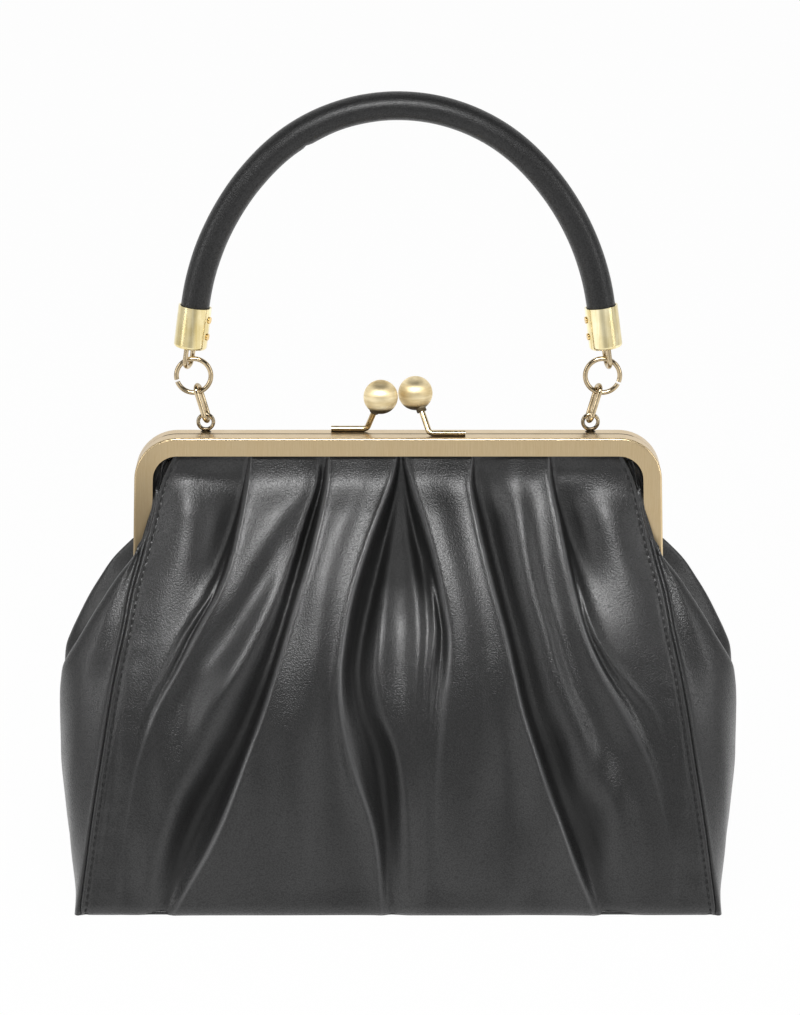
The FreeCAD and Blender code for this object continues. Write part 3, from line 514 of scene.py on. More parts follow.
folds = {
    "left_bay": (
        (-80, -85, -87, -90, -95, -100, -106, -111, -115, -120, -126),
        (0.3, 0.6, 2.4, 2.4, 1.6, 1.0, 0.7, 0.4, 0.2, 0, 0),
    ),
    "first_valley": (
        (-62.6, -64.8, -69.5, -74.8, -81.5, -91, -99, -106, -111.5, -116.5, -122),
        (-1.2, -3.6, -6.4, -5.0, -1.2, 0.5, 0.7, 0.5, 0.3, 0.1, 0),
    ),
    "first_lip": (
        (-62.4, -64.3, -68.3, -73.0, -78.2, -88.2, -96, -104.2, -110, -115.5, -121),
        (-0.8, -2.4, -4.8, -3.0, 0.6, 2.0, 2.0, 1.3, 0.6, 0.1, 0),
    ),
    "first_groove": (
        (-62.2, -63.9, -67.2, -71.2, -76.8, -86.0, -94, -102.4, -109, -114.8, -120),
        (-0.4, -0.8, -1.6, -2.2, -1.6, -1.0, -0.8, -0.5, -0.1, 0, 0),
    ),
    "first_ridge": (
        (-62, -63.5, -66, -69.5, -75.5, -84, -92, -100.5, -108, -114, -119),
        (0.4, 1.6, 2.8, 3.1, 2.9, 2.6, 2.2, 1.5, 0.7, 0.2, 0),
    ),
    "first_bay_crest": (
        (-50, -41, -50, -60, -68, -76, -84, -92, -99, -107, -114),
        (0.3, 1.4, 3.3, 3.2, 2.0, 0.6, -0.2, -0.2, -0.1, 0, 0),
    ),
    "first_bay_trough": (
        (-44, -36, -43, -51.5, -60, -68.5, -77.5, -86, -93, -103, -112),
        (0.2, 0.8, 1.0, 0.2, -0.8, -0.6, 0.2, 0.6, 0.4, 0, 0),
    ),
    "first_bay_swell": (
        (-37, -34, -39, -44.5, -51, -58.5, -67, -76, -85, -97, -108.5),
        (0.2, 0.5, 0.4, 0.6, 1.8, 3.2, 4.2, 4.2, 3.0, 1.0, 0),
    ),
    "second_valley": (
        (-30.1, -32.2, -37, -41, -45, -49.5, -54.6, -60.5, -69.5, -85, -99),
        (-1.2, -3.6, -6.8, -5.6, -4.2, -4.2, -5.0, -6.4, -7.8, -7.4, -1.6),
    ),
    "second_ridge": (
        (-29.5, -29.9, -32.7, -36.6, -41.7, -46.3, -50.9, -55.8, -63, -74.5, -95),
        (0.6, 1.6, 2.8, 3.0, 2.9, 2.8, 2.8, 2.8, 3.0, 3.0, 0.9),
    ),
    "second_bay_crest": (
        (-14, -15.5, -22.5, -28.5, -31.5, -33, -34.5, -35.5, -38, -42, -48),
        (0.2, 1.5, 3.5, 3.7, 3.6, 3.6, 3.6, 3.2, 2.3, 1.0, 0),
    ),
    "second_bay_dip": (
        (-8, -10, -16.5, -22.5, -26.5, -28.6, -30, -30, -26, -18, -12),
        (0.1, 0.8, 2.0, 2.1, 2.0, 1.7, 1.2, 0.2, -1.4, -1.8, -0.4),
    ),
    "box_left_ridge": (
        (-0.4, -2.6, -8.5, -14.3, -19.2, -22.3, -24.2, -23.8, -19.8, -10.6, -6.5),
        (0.7, 1.6, 2.7, 2.9, 2.8, 2.5, 2.3, 2.0, 1.7, 1.2, 0.3),
    ),
    "box_left_valley": (
        (0.4, -0.8, -4.8, -8.6, -12.2, -15.5, -17.2, -15.0, -8.6, -4.6, -4),
        (-1.4, -4.2, -9.6, -10.6, -9.0, -7.2, -6.0, -6.0, -6.4, -5.6, -1.2),
    ),
    "box_left_swell": (
        (0.8, 0.2, -1.8, -4.2, -6.4, -8, -8.6, -6.5, 0, 4, 4),
        (-1.2, -4.0, -7.8, -6.4, -3.0, 0.2, 1.4, 1.6, 1.2, 0.8, 0),
    ),
    "box_middle": (
        (1.0, 0.9, 0.9, 0.9, 0.9, 0.9, 0.8, 1.8, 4.4, 7, 7),
        (-1.2, -4.0, -7.6, -6.8, -4.6, -2.2, -1.0, -0.2, 0.2, 0.1, 0),
    ),
    "box_right_swell": (
        (1.2, 1.7, 3.4, 5.8, 7.6, 8.4, 8.0, 7.4, 8.2, 10, 10),
        (-1.2, -4.0, -7.4, -5.6, -2.0, 0.8, 1.6, 1.4, 0.8, 0.3, 0),
    ),
    "box_right_valley": (
        (1.7, 3.2, 6.2, 9.8, 12, 12.6, 10.8, 9.8, 11, 12, 12),
        (-1.4, -4.2, -9.4, -9.0, -3.6, -0.4, 0.4, 0.4, 0.2, 0, 0),
    ),
    "box_right_lip": (
        (1.9, 3.8, 7.6, 12.4, 14.6, 15.4, 13.4, 12.6, 13, 13.5, 13.5),
        (-0.8, -2.4, -6.4, -6.0, -0.6, 1.6, 1.6, 1.0, 0.4, 0, 0),
    ),
    "box_right_groove": (
        (2.0, 4.2, 8.8, 13.6, 16.4, 18.2, 17, 15.5, 15, 14.6, 14.6),
        (-0.3, -1.0, -2.6, -3.6, -3.2, -2.4, -1.6, -0.9, -0.3, 0, 0),
    ),
    "box_right_ridge": (
        (2.2, 4.8, 10, 14.8, 18.4, 21.2, 21.0, 18.8, 17, 16, 16),
        (0.5, 1.8, 3.2, 3.4, 3.1, 2.5, 1.8, 1.1, 0.4, 0.1, 0),
    ),
    "third_bay_crest": (
        (16, 16, 19.5, 23, 26, 28.5, 31, 33, 35, 38, 40),
        (0.2, 1.5, 3.4, 3.6, 3.5, 3.2, 2.6, 1.9, 1.2, 0.6, 0),
    ),
    "third_bay_dip": (
        (24, 23.5, 26, 29.5, 32.8, 36, 38.8, 42, 46, 50, 54),
        (0.1, 0.6, 1.4, 1.6, 1.5, 1.0, 0.4, -0.3, -1.0, -1.2, -0.4),
    ),
    "fourth_ridge": (
        (31.5, 30.4, 32.8, 36.5, 40.6, 44.9, 48.3, 51.8, 58.2, 68.5, 83),
        (0.6, 1.5, 2.4, 2.6, 2.6, 2.6, 2.6, 2.7, 2.9, 2.9, 0.9),
    ),
    "fourth_valley": (
        (32, 32.8, 36.8, 40.6, 44.6, 48.6, 52.6, 56.6, 63, 73.5, 86.5),
        (-1.2, -3.6, -7.0, -7.0, -6.4, -6.4, -6.6, -7.0, -7.4, -6.8, -1.6),
    ),
    "fourth_bay_crest": (
        (47, 47.5, 50, 53, 57, 62, 66, 70.5, 79, 93, 103),
        (0.2, 1.4, 3.3, 3.4, 3.0, 2.6, 2.2, 1.7, 1.2, 0.5, 0),
    ),
    "fourth_bay_trough": (
        (56, 56.5, 58, 60, 63, 67, 71.5, 78, 90, 105, 112.5),
        (0.1, 0.4, 0.4, -0.6, -1.8, -2.6, -3.0, -2.9, -2.2, -0.8, 0),
    ),
    "fifth_ridge": (
        (63.5, 63.9, 67, 70.2, 73.8, 78, 84.8, 93.8, 104, 112.5, 118.5),
        (0.4, 1.6, 2.8, 3.1, 2.9, 2.6, 2.3, 1.8, 0.9, 0.2, 0),
    ),
    "fifth_groove": (
        (63.7, 64.5, 68, 71.4, 75, 79.6, 87.6, 98, 107.5, 115, 120),
        (-0.3, -0.8, -1.6, -2.2, -1.6, -1.0, -0.8, -0.5, -0.1, 0, 0),
    ),
    "fifth_lip": (
        (63.9, 65, 68.8, 73, 76.4, 81.4, 90.8, 103.6, 111.8, 117.5, 122),
        (-0.8, -2.4, -4.6, -3.0, 0.6, 2.0, 2.0, 1.3, 0.5, 0, 0),
    ),
    "fifth_valley": (
        (64.1, 65.6, 70, 75.2, 79.6, 85, 95.5, 107.5, 114, 119.5, 124),
        (-1.2, -3.6, -6.6, -5.2, -1.4, 0.5, 0.6, 0.4, 0.2, 0, 0),
    ),
    "right_bay": (
        (80, 82, 86, 91, 96, 101, 106.5, 112.6, 117, 122, 127.5),
        (0.3, 0.6, 2.4, 2.2, 1.6, 1.0, 0.6, 0.4, 0.2, 0, 0),
    ),
}
print(f"{len(folds)} fold lines")


# %% [markdown]
# The sheet is a grid of points. At the seams the leather is turned over and stitched, so it ends in a small
# roll with a groove for thread. Beside four ridges an extra line keeps the fold's edge full, like a bead.
# Each row is then rounded, little at a crease and much in the bays between. Dents near the frame, slow
# ripples and puckers at the seams make it leather. Last it is laid on the swelling bag, square to its slope,
# and the marks for a painted highlight on the sharp edges and painted shade in the deep hollows are worked
# out. A dent is given by its place, its size and its amount, and a ripple by its width, its height and a
# seed.

# %% The pleated sheet
ROWS = np.concatenate(
    [np.linspace(0, 10, 9)[:-1], np.linspace(10, 172, 116)[:-1], np.linspace(172, 194, 30)]
)
EDGE_ROLL = ((0.0, -1.1), (0.4, -0.1), (1.0, 0.35), (2.5, -0.4), (4.8, 0.1))
STITCH_LINE = 3
STEPS = 5
GRID = 0.2
SHARPEST = 0.7
SOFTEST = 1.15
SOFTER_BELOW = 160
SOFTER_OVER = 90
CREASES = ("ridge", "valley", "groove", "lip", "left_swell", "right_swell")
CREASE_REACH = 1.5
BAY_REACH = 4.0
BAY_ROUND = 2.6
BEAD_WIDTH = 2.2
BEAD_FALL = 0.35
BEAD_LEFT = ("box_left_ridge", "fourth_ridge")
BEAD_RIGHT = ("first_ridge", "second_ridge")
# Width and full height of the painted highlight along the ridges.
HIGHLIGHT_WIDTH = 0.7
HIGHLIGHT_FULL = 2.4
# A hollow deeper than this gets painted shade, which is full over this range.
HOLLOW_FROM = 2.0
HOLLOW_RANGE = 3.0
BAG_ROUND = 2.4
PUCKER_FROM_SEAM = 6
PUCKER = 0.28
FOLD_RIPPLE = (13, 75, 3.1)
SKIN_RIPPLE = (17, 19, 7.7)
PUCKER_RIPPLE = (30, 6.5, 1.9)
FOLD_WAVE = 0.35
LOW_WAVE = 3.0
SKIN_WAVE = 0.30
BASE_TUCK = 1.9
TUCK_HEIGHT = 5
DENTS = (
    (-80, 181, 9, 4, -0.8),
    (-72, 175, 6, 5, 0.7),
    (-90, 170, 7, 8, 0.8),
    (73, 184, 9, 4, -0.7),
    (70, 178, 6, 4, 0.8),
    (86, 174, 9, 6, -0.4),
)


def pleat_lines(z):
    seam = along(SEAM, z)
    ordered = [(-seam + inset, out + 0 * z) for inset, out in EDGE_ROLL]
    for name, (places, stand) in folds.items():
        x = along(places, z)
        out = along(stand, z)
        if name in BEAD_LEFT:
            ordered.append((x - BEAD_WIDTH, out - BEAD_FALL))
        ordered.append((x, out))
        if name in BEAD_RIGHT:
            ordered.append((x + BEAD_WIDTH, out - BEAD_FALL))
    ordered += [(seam - inset, out + 0 * z) for inset, out in reversed(EDGE_ROLL)]
    return np.stack([np.stack(pair, axis=-1) for pair in ordered], axis=1)


def smoothed(level, round_off):
    reach = np.arange(-4 * round_off, 4 * round_off, GRID)
    weight = np.exp(-0.5 * (reach / round_off) ** 2)
    padded = np.pad(level, len(reach) // 2, mode="edge")
    return np.convolve(padded, weight / weight.sum(), mode="same")[len(reach) // 2:][:len(level)]


def softened(x, out, z):
    """Rounds every row of the folds, as leather does: little at a crease, much in the bays between."""
    soft = np.empty_like(out)
    creases = [along(folds[name][0], z) for name in folds if name.endswith(CREASES)]
    for row in range(len(z)):
        grid = np.arange(x[row].min(), x[row].max(), GRID)
        level = np.interp(grid, np.maximum.accumulate(x[row]), out[row])
        round_off = SHARPEST + (SOFTEST - SHARPEST) * rise(SOFTER_BELOW - z[row], SOFTER_OVER)
        away = np.min([np.abs(grid - crease[row]) for crease in creases], axis=0)
        in_bay = rise(away - CREASE_REACH, BAY_REACH)
        level = smoothed(level, round_off) * (1 - in_bay) + smoothed(level, BAY_ROUND) * in_bay
        soft[row] = np.interp(x[row], grid, level)
    return soft


def bag_depth(x, z, seam_depth, middle_depth):
    edge = along(seam_depth, z)
    middle = along(middle_depth, z)
    part = np.abs(x / along(SEAM, z)[:, None])
    return edge[:, None] + (middle - edge)[:, None] * (1 - np.clip(part, 0, 1) ** BAG_ROUND)


def ripple(x, z, wide, tall, seed):
    place = zip((x / wide).ravel(), (z / tall).ravel())
    return np.array([noise.noise(Vector((a, b, seed))) for a, b in place]).reshape(x.shape)


def pleated_sheet():
    """The sheet's points in millimetres, and how deep each one lies in a hollow, which gets painted shade.
    """
    z = ROWS
    section = across(pleat_lines(z), STEPS)
    x, out = section[..., 0], section[..., 1]
    tall = np.repeat(z[:, None], x.shape[1], axis=1)
    calm = rise(180 - tall, 45) * rise(tall, 12)
    from_seam = along(SEAM, z)[:, None] - np.abs(x)
    inner = rise(from_seam - 4, 3)
    out = out + (softened(x, out, z) - out) * inner
    for place_x, place_z, wide, high, amount in DENTS:
        out = out + amount * np.exp(-(((x - place_x) / wide) ** 2) - ((tall - place_z) / high) ** 2)
    pucker = bell(from_seam - PUCKER_FROM_SEAM, PUCKER_FROM_SEAM) * PUCKER
    low_down = rise(110 - tall, 60)
    out = out + calm * (FOLD_WAVE + LOW_WAVE * low_down) * inner * ripple(x, tall, *FOLD_RIPPLE)
    out = out + calm * SKIN_WAVE * ripple(x, tall, *SKIN_RIPPLE)
    out = out + calm * pucker * ripple(x, tall, *PUCKER_RIPPLE)
    depth = bag_depth(x, z, SEAM_DEPTH, MIDDLE_DEPTH)
    lean = np.gradient(along(MIDDLE_DEPTH, z), z)[:, None]
    lean = np.clip(lean, -0.9, 0.5) * rise(189 - tall, 8)
    length = np.sqrt(1 + lean**2)
    tuck = rise(TUCK_HEIGHT - tall, TUCK_HEIGHT) ** 2 * BASE_TUCK
    height = tall - out * lean / length * rise(tall, 8)
    sheet = np.stack([x, -depth - out / length + tuck, height], axis=-1)
    return sheet, rise(-out - HOLLOW_FROM, HOLLOW_RANGE)


def edge_highlight_of(sheet):
    """Where each point gets the painted highlight: most on the sharp edge of a pleat, where it stands out.
    """
    rub_and_highlight = np.zeros(sheet.shape[:2])
    for name in folds:
        if name.endswith("ridge"):
            place, stand = (along(values, ROWS)[:, None] for values in folds[name])
            rub_and_highlight = np.maximum(rub_and_highlight, bell(sheet[..., 0] - place, HIGHLIGHT_WIDTH) * rise(stand, HIGHLIGHT_FULL))
    return rub_and_highlight


front_sheet, front_hollow_shade = pleated_sheet()
# The marks for the painted highlight on the fold edges and the painted shade in the hollows.
front_marks = {EDGE_HIGHLIGHT_MARK: edge_highlight_of(front_sheet), HOLLOW_SHADE_MARK: front_hollow_shade}
print("pleated sheet", front_sheet.shape)


# %% [markdown]
# A sheet of points becomes a mesh with one square face between each four neighbours. Solidify then gives
# it the thickness of leather on its inner side. The back of the bag is the same sheet turned half round.

# %% Sheets into pieces
def half_turn(points):
    return points * np.array([-1, -1, 1])


def new_piece(name, points, faces, material):
    mesh = bpy.data.meshes.new(name)
    mesh.from_pydata((points * MM).tolist(), [], faces)
    mesh.materials.append(material)
    piece = bpy.data.objects.new(name, mesh)
    bpy.context.collection.objects.link(piece)
    bpy.ops.object.select_all(action="DESELECT")
    piece.select_set(True)
    bpy.context.view_layer.objects.active = piece
    return piece


def sheet_piece(name, points, material, thickness, marks=()):
    rows, columns = points.shape[:2]
    corner = np.arange(rows * columns).reshape(rows, columns)
    faces = np.stack([corner[:-1, :-1], corner[:-1, 1:], corner[1:, 1:], corner[1:, :-1]], axis=-1)
    piece = new_piece(name, points.reshape(-1, 3), faces.reshape(-1, 4).tolist(), material)
    for mark in marks:
        values = marks[mark].ravel()
        piece.data.attributes.new(mark, "FLOAT", "POINT").data.foreach_set("value", values)
    if thickness:
        wall = piece.modifiers.new("thickness", "SOLIDIFY")
        wall.thickness = thickness * MM
        wall.offset = -1
        bpy.ops.object.modifier_apply(modifier="thickness")
    bpy.ops.object.shade_smooth()
    return piece


LEATHER = 1.2
front_leather = sheet_piece("front_leather", front_sheet, bag_leather, LEATHER, front_marks)
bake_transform(front_leather)
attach(front_leather, "bag")
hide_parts("front_panel", "front_panel_head")

rear_leather = sheet_piece("rear_leather", half_turn(front_sheet), bag_leather, LEATHER, front_marks)
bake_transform(rear_leather)
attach(rear_leather, "bag")
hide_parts("back_panel", "back_panel_head")
print("front leather has", len(front_leather.data.polygons), "faces")

# %% [markdown]
# Each side of the bag is a gusset. It is sewn to the panels, bulges out at the bottom, and folds inwards at
# the top below the hinge, so that it can close like a bellows. It is made as a front and a rear half that
# meet in the middle, one under each half of the frame.

# %% Gusset halves
SIDE_HEIGHTS = (
    188, 176, 167, 160, 153, 147, 141, 131, 124, 115, 108, 103, 95, 80, 60, 40, 23, 10, 0,
)
RIDGE_X = (
    98.5, 100.6, 102.0, 103.6, 107.4, 112.2, 117.2, 124, 128.5, 134, 138.3, 141, 142.6, 143, 142.6, 140.6,
    138.6, 136.4, 134.6,
)
RIDGE_Y = (
    5.4, 7.2, 9.2, 11.0, 12.6, 13.8, 15.0, 16.8, 18, 18.5, 18, 16.5, 15.5, 16, 18, 20, 21, 22, 22,
)
REAR_SWELL = (0, 0, 0, 0.4, 1.8, 3.2, 3.8, 3.6, 3.2, 2.4, 1.5, 0.9, 0.3, 0, 0, 0, 0, 0, 0)
PASS_X = (
    100, 101.2, 101.8, 101.9, 101.9, 102.0, 102.6, 110, 114, 121, 128, 134, 140, 143, 143.2, 141.3, 139.3,
    136.6, 134.7,
)
PASS_Y = (5.0, 6.2, 7.2, 7.4, 7.4, 7.4, 7.6, 6, 6, 6.5, 7, 7, 7, 7, 8, 9, 9, 9, 9)
TUCK_X = (
    104, 104.6, 104.6, 104.7, 104.8, 104.9, 105, 107.5, 112.5, 120, 127.5, 133.5, 139.8, 143.1, 143.4, 141.6,
    139.6, 136.7, 134.7,
)
TUCK_Y = (4.4, 4.4, 4.6, 4.6, 4.6, 4.5, 4.4, 0.4, 0, 0, 0, 0, 0, 0, 0, 0, 0, 0, 0)
FLANK_SWELL = (
    0, 0, 0.2, 0.6, 1.0, 1.4, 1.6, 2.0, 2.2, 2.4, 2.6, 2.8, 3.0, 3.2, 3.2, 2.6, 1.8, 0.9, 0.3,
)
SIDE_ROWS = np.concatenate([np.linspace(0, 90, 46)[:-1], np.linspace(90, 188, 76)])
TURN_IN = (-0.7, 1.5)
WELT = (0.8, 0.9)
WELT_GROOVE = (2.0, 2.3)
WELT_SQUEEZED = 0.35
GUSSET_STEPS = 9
SLOW_RIPPLE = (14, 30, 5.5)
QUICK_RIPPLE = (7, 12, 2.2)


def side_line(values_x, values_y, z):
    return np.stack([along(values_x, z, SIDE_HEIGHTS), -along(values_y, z, SIDE_HEIGHTS)], axis=-1)


def gusset_half(z, fuller, inset=0.0):
    """Half a gusset, from its seam over the outer ridge and round the bend into the middle fold."""
    seam = np.stack([along(SEAM, z), -along(SEAM_DEPTH, z)], axis=-1)
    ridge = side_line(RIDGE_X, RIDGE_Y, z)
    ridge[:, 0] += fuller * along(REAR_SWELL, z, SIDE_HEIGHTS)
    bend = side_line(PASS_X, PASS_Y, z)
    tuck = side_line(TUCK_X, TUCK_Y, z)
    room = rise(170 - z, 18)[:, None]
    squeeze = WELT_SQUEEZED + (1 - WELT_SQUEEZED) * room
    start = seam + TURN_IN
    welt = start + (seam + WELT - start) * squeeze
    groove = welt + (seam + WELT_GROOVE - welt) * squeeze
    run = ridge - groove
    outward = np.stack([run[:, 1], -run[:, 0]], axis=-1)
    outward = outward / np.maximum(np.linalg.norm(outward, axis=1, keepdims=True), 1e-6)
    flank = groove + run * 0.5 + outward * along(FLANK_SWELL, z, SIDE_HEIGHTS)[:, None]
    behind = (ridge + bend) / 2
    lines = np.stack([start, welt, groove, flank, ridge, behind, bend, tuck], axis=1)
    flat = across(lines, GUSSET_STEPS)
    tall = np.repeat(z[:, None], flat.shape[1], axis=1)
    column = np.arange(flat.shape[1])
    soft = rise(150 - tall, 30) * rise(tall, 15)
    soft = soft * rise(column - 24, 12) * rise(flat.shape[1] - 1 - column, 14)
    slow = ripple(flat[..., 1], tall, *SLOW_RIPPLE)
    quick = ripple(flat[..., 1], tall, *QUICK_RIPPLE)
    wave = soft * (0.5 * slow + 0.25 * quick)
    return np.stack([flat[..., 0] + wave - inset, flat[..., 1], tall], axis=-1)


def mirrored_left(points):
    return (points * np.array([-1, 1, 1]))[:, ::-1]


front_half = gusset_half(SIDE_ROWS, 0)
rear_half = gusset_half(SIDE_ROWS, 1)
gussets = {
    "front_right_gusset": (front_half, "front_frame", "right_gusset"),
    "front_left_gusset": (mirrored_left(front_half), "front_frame", "left_gusset"),
    "rear_left_gusset": (half_turn(rear_half), "rear_frame", "left_gusset"),
    "rear_right_gusset": (half_turn(mirrored_left(rear_half)), "rear_frame", "right_gusset"),
}
for name, (points, half, node) in gussets.items():
    piece = sheet_piece(name, points, bag_leather, LEATHER)
    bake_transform(piece)
    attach(piece, "bag")
    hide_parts(node)
print("gusset half", front_half.shape)

# %% [markdown]
# Along each seam runs a row of stitches, a little over three millimetres apart. One stitch is modelled: a
# small ball, stretched along the seam. Blender may number its points differently each time, so they are
# sorted. Its copies are set in a row, each turned to lie on the leather.

# %% Stitches
STITCH_PITCH = 3.3
STITCH_SIZE = (0.36, 0.36, 1.15)
STITCH_LIFT = 0.08
FIRST_STITCH = 2.5
LAST_STITCH = 3.0
STITCH_TOP = 188
bpy.ops.object.select_all(action="DESELECT")
bpy.ops.mesh.primitive_uv_sphere_add(segments=8, ring_count=6, radius=1)
stitch = bpy.context.object
bpy.ops.object.mode_set(mode="EDIT")
bpy.ops.transform.resize(value=STITCH_SIZE)
bpy.ops.object.mode_set(mode="OBJECT")
ball_points = np.array([tuple(v.co) for v in stitch.data.vertices])
order = np.lexsort(ball_points.T)
rank = np.argsort(order).tolist()
stitch_points = ball_points[order]
stitch_faces = []
for face in stitch.data.polygons:
    corners = [rank[i] for i in face.vertices]
    first = corners.index(min(corners))
    stitch_faces.append(tuple(corners[first:] + corners[:first]))
stitch_faces.sort()
bpy.data.objects.remove(stitch)


def point_on(path, walked, at):
    return np.array([np.interp(at, walked, path[:, i]) for i in range(3)])


def stitch_row(name, path, outward):
    walked = np.concatenate([[0], np.cumsum(np.linalg.norm(np.diff(path, axis=0), axis=1))])
    stops = np.arange(FIRST_STITCH, walked[-1] - LAST_STITCH, STITCH_PITCH)
    points = []
    faces = []
    for stop in stops:
        middle = point_on(path, walked, stop)
        ahead = point_on(path, walked, stop + 1)
        face_out = point_on(outward, walked, stop)
        long_way = (ahead - middle) / np.linalg.norm(ahead - middle)
        side_way = np.cross(face_out, long_way)
        side_way = side_way / np.linalg.norm(side_way)
        up_way = np.cross(long_way, side_way)
        turn = np.stack([side_way, up_way, long_way])
        faces += [tuple(i + len(points) * len(stitch_points) for i in face) for face in stitch_faces]
        points.append(stitch_points @ turn + middle + up_way * STITCH_LIFT)
    row = new_piece(name, np.concatenate(points), faces, thread)
    bpy.ops.object.shade_smooth()
    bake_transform(row)
    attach(row, "bag")
    return len(stops)


columns = front_sheet.shape[1]
across_way = np.gradient(front_sheet, axis=1)
up_way = np.gradient(front_sheet, axis=0)
facing = np.cross(across_way, up_way)
facing = facing / np.linalg.norm(facing, axis=2, keepdims=True)
seam_rows = slice(0, int(np.searchsorted(ROWS, STITCH_TOP)))
count = 0
stitch_columns = {"left": STITCH_LINE * STEPS, "right": columns - 1 - STITCH_LINE * STEPS}
for side, column in stitch_columns.items():
    path = front_sheet[seam_rows, column]
    out = facing[seam_rows, column]
    count += stitch_row(f"front_{side}_stitches", path, out)
    count += stitch_row(f"rear_{side}_stitches", half_turn(path), half_turn(out))
print(count, "stitches")

# %% [markdown]
# The base is a flat piece of leather over a board. A box at its size gets rounded edges from a bevel.

# %% Base
BASE_ROUND = 0.0006
low, high = (np.array(corner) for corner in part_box("base_panel"))
bpy.ops.object.select_all(action="DESELECT")
bpy.ops.mesh.primitive_cube_add(size=1, location=tuple((low + high) / 2))
base = bpy.context.object
base.name = "base_leather"
bpy.ops.object.mode_set(mode="EDIT")
bpy.ops.transform.resize(value=tuple(high - low))
bpy.ops.mesh.bevel(offset=BASE_ROUND, segments=3)
bpy.ops.object.mode_set(mode="OBJECT")
bpy.ops.object.transform_apply(location=True, rotation=True, scale=True)
bpy.ops.object.shade_smooth_by_angle(angle=math.radians(40))
base.data.materials.append(bag_leather)
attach(base, "bag")
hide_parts("base_panel")
print("base", [round(float(v), 4) for v in high - low])

# %% [markdown]
# Inside, a cloth lining hangs clear of the pleats. It follows the same bag shape, further in, as a front
# and a rear sheet, and a plain piece at each side.

# %% Lining
LINING_SEAM = (2.8, 1.4, 2.4, 8.0, 15.0, 22.0, 28.0, 32.6, 36.0, 38.6, 40.4)
LINING_MIDDLE = (2.6, 1.2, 2.0, 7.6, 16.0, 24.0, 30.4, 34.2, 36.0, 37.8, 40.4)
LINING_CLOTH = 0.4
LINING_LOW = 4.5
LINING_INSIDE_SEAM = 3.0
LINING_INSIDE_GUSSET = 2.6
LINING_EASE = 0.6
LINING_RIPPLE = (16, 70, 4.4)
FIRST_SIDE_COLUMN = 18
lining_rows = np.linspace(LINING_LOW, 190, 76)
half_width = along(SEAM, lining_rows)[:, None] - LINING_INSIDE_SEAM
spread = np.linspace(-1, 1, 61)[None, :] * half_width
lining_tall = np.repeat(lining_rows[:, None], spread.shape[1], axis=1)
lining_depth = bag_depth(spread, lining_rows, LINING_SEAM, LINING_MIDDLE)
slack = LINING_EASE * rise(170 - lining_tall, 40) * (1 + ripple(spread, lining_tall, *LINING_RIPPLE))
front_lining_points = np.stack([spread, slack - lining_depth, lining_tall], axis=-1)
side_rows = np.linspace(LINING_LOW, 122, 60)
right_side_points = gusset_half(side_rows, 0, LINING_INSIDE_GUSSET)[:, FIRST_SIDE_COLUMN:]
left_side_points = mirrored_left(right_side_points)
linings = {
    "front_lining": (front_lining_points, "front_frame"),
    "rear_lining": (half_turn(front_lining_points), "rear_frame"),
    "front_right_lining": (right_side_points, "front_frame"),
    "front_left_lining": (left_side_points, "front_frame"),
    "rear_left_lining": (half_turn(right_side_points), "rear_frame"),
    "rear_right_lining": (half_turn(left_side_points), "rear_frame"),
}
for name, (points, half) in linings.items():
    piece = sheet_piece(name, points, lining_cloth, LINING_CLOTH)
    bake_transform(piece)
    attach(piece, "bag")
    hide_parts("lining")
print(len(linings), "lining pieces")

# %% [markdown]
# The handle is leather rolled round a core. Its middle line is an arc at the crown, two wider arcs down the
# sides and a short straight end in each cap. The skin is closed by a shallow seam on the inner side, towards
# the back, and bending has left one small crease under the left shoulder.

# %% Handle
HANDLE_Y = 4.35
CROWN_Z = 259.64
CROWN_RADIUS = 76.76
SIDE_RADIUS = 107.7
SLEEVE_RADIUS = 6.0
END_LEAN = math.radians(7.5)
QUARTER = math.radians(45)
SEAT = 13.0
SEAM_TURN = math.radians(222)
SEAM_WIDTH = 0.07
SEAM_CUT = 0.35
CREASE_X = -41
CREASE_CUT = 0.55
CREASE_BULGE = 0.22
UNEVEN = 0.25
FRONT_RIPPLE = (16, 6, 9.3)
OUTER_RIPPLE = (21, 6, 6.1)

crown_turn = np.linspace(0, QUARTER, 44)[:-1]
side_turn = np.linspace(QUARTER, math.pi / 2 - END_LEAN, 50)
shoulder = CROWN_RADIUS * math.sin(QUARTER)
side_x = shoulder - SIDE_RADIUS * math.sin(QUARTER)
side_z = CROWN_Z + shoulder - SIDE_RADIUS * math.cos(QUARTER)
crown_line = np.stack([CROWN_RADIUS * np.sin(crown_turn), CROWN_Z + CROWN_RADIUS * np.cos(crown_turn)])
side_arc = np.stack([side_x + SIDE_RADIUS * np.sin(side_turn), side_z + SIDE_RADIUS * np.cos(side_turn)])
drop = np.linspace(0, SEAT, 8)[1:]
end_line = side_arc[:, -1:] + np.stack([drop * math.sin(END_LEAN), -drop * math.cos(END_LEAN)])
half_line = np.concatenate([crown_line, side_arc, end_line], axis=1).T
line = np.concatenate([half_line[:0:-1] * (-1, 1), half_line])
walk = np.concatenate([[0], np.cumsum(np.linalg.norm(np.diff(line, axis=0), axis=1))])
tangent = np.gradient(line, axis=0)
tangent = tangent / np.linalg.norm(tangent, axis=1, keepdims=True)
outer = np.stack([-tangent[:, 1], tangent[:, 0]], axis=-1)

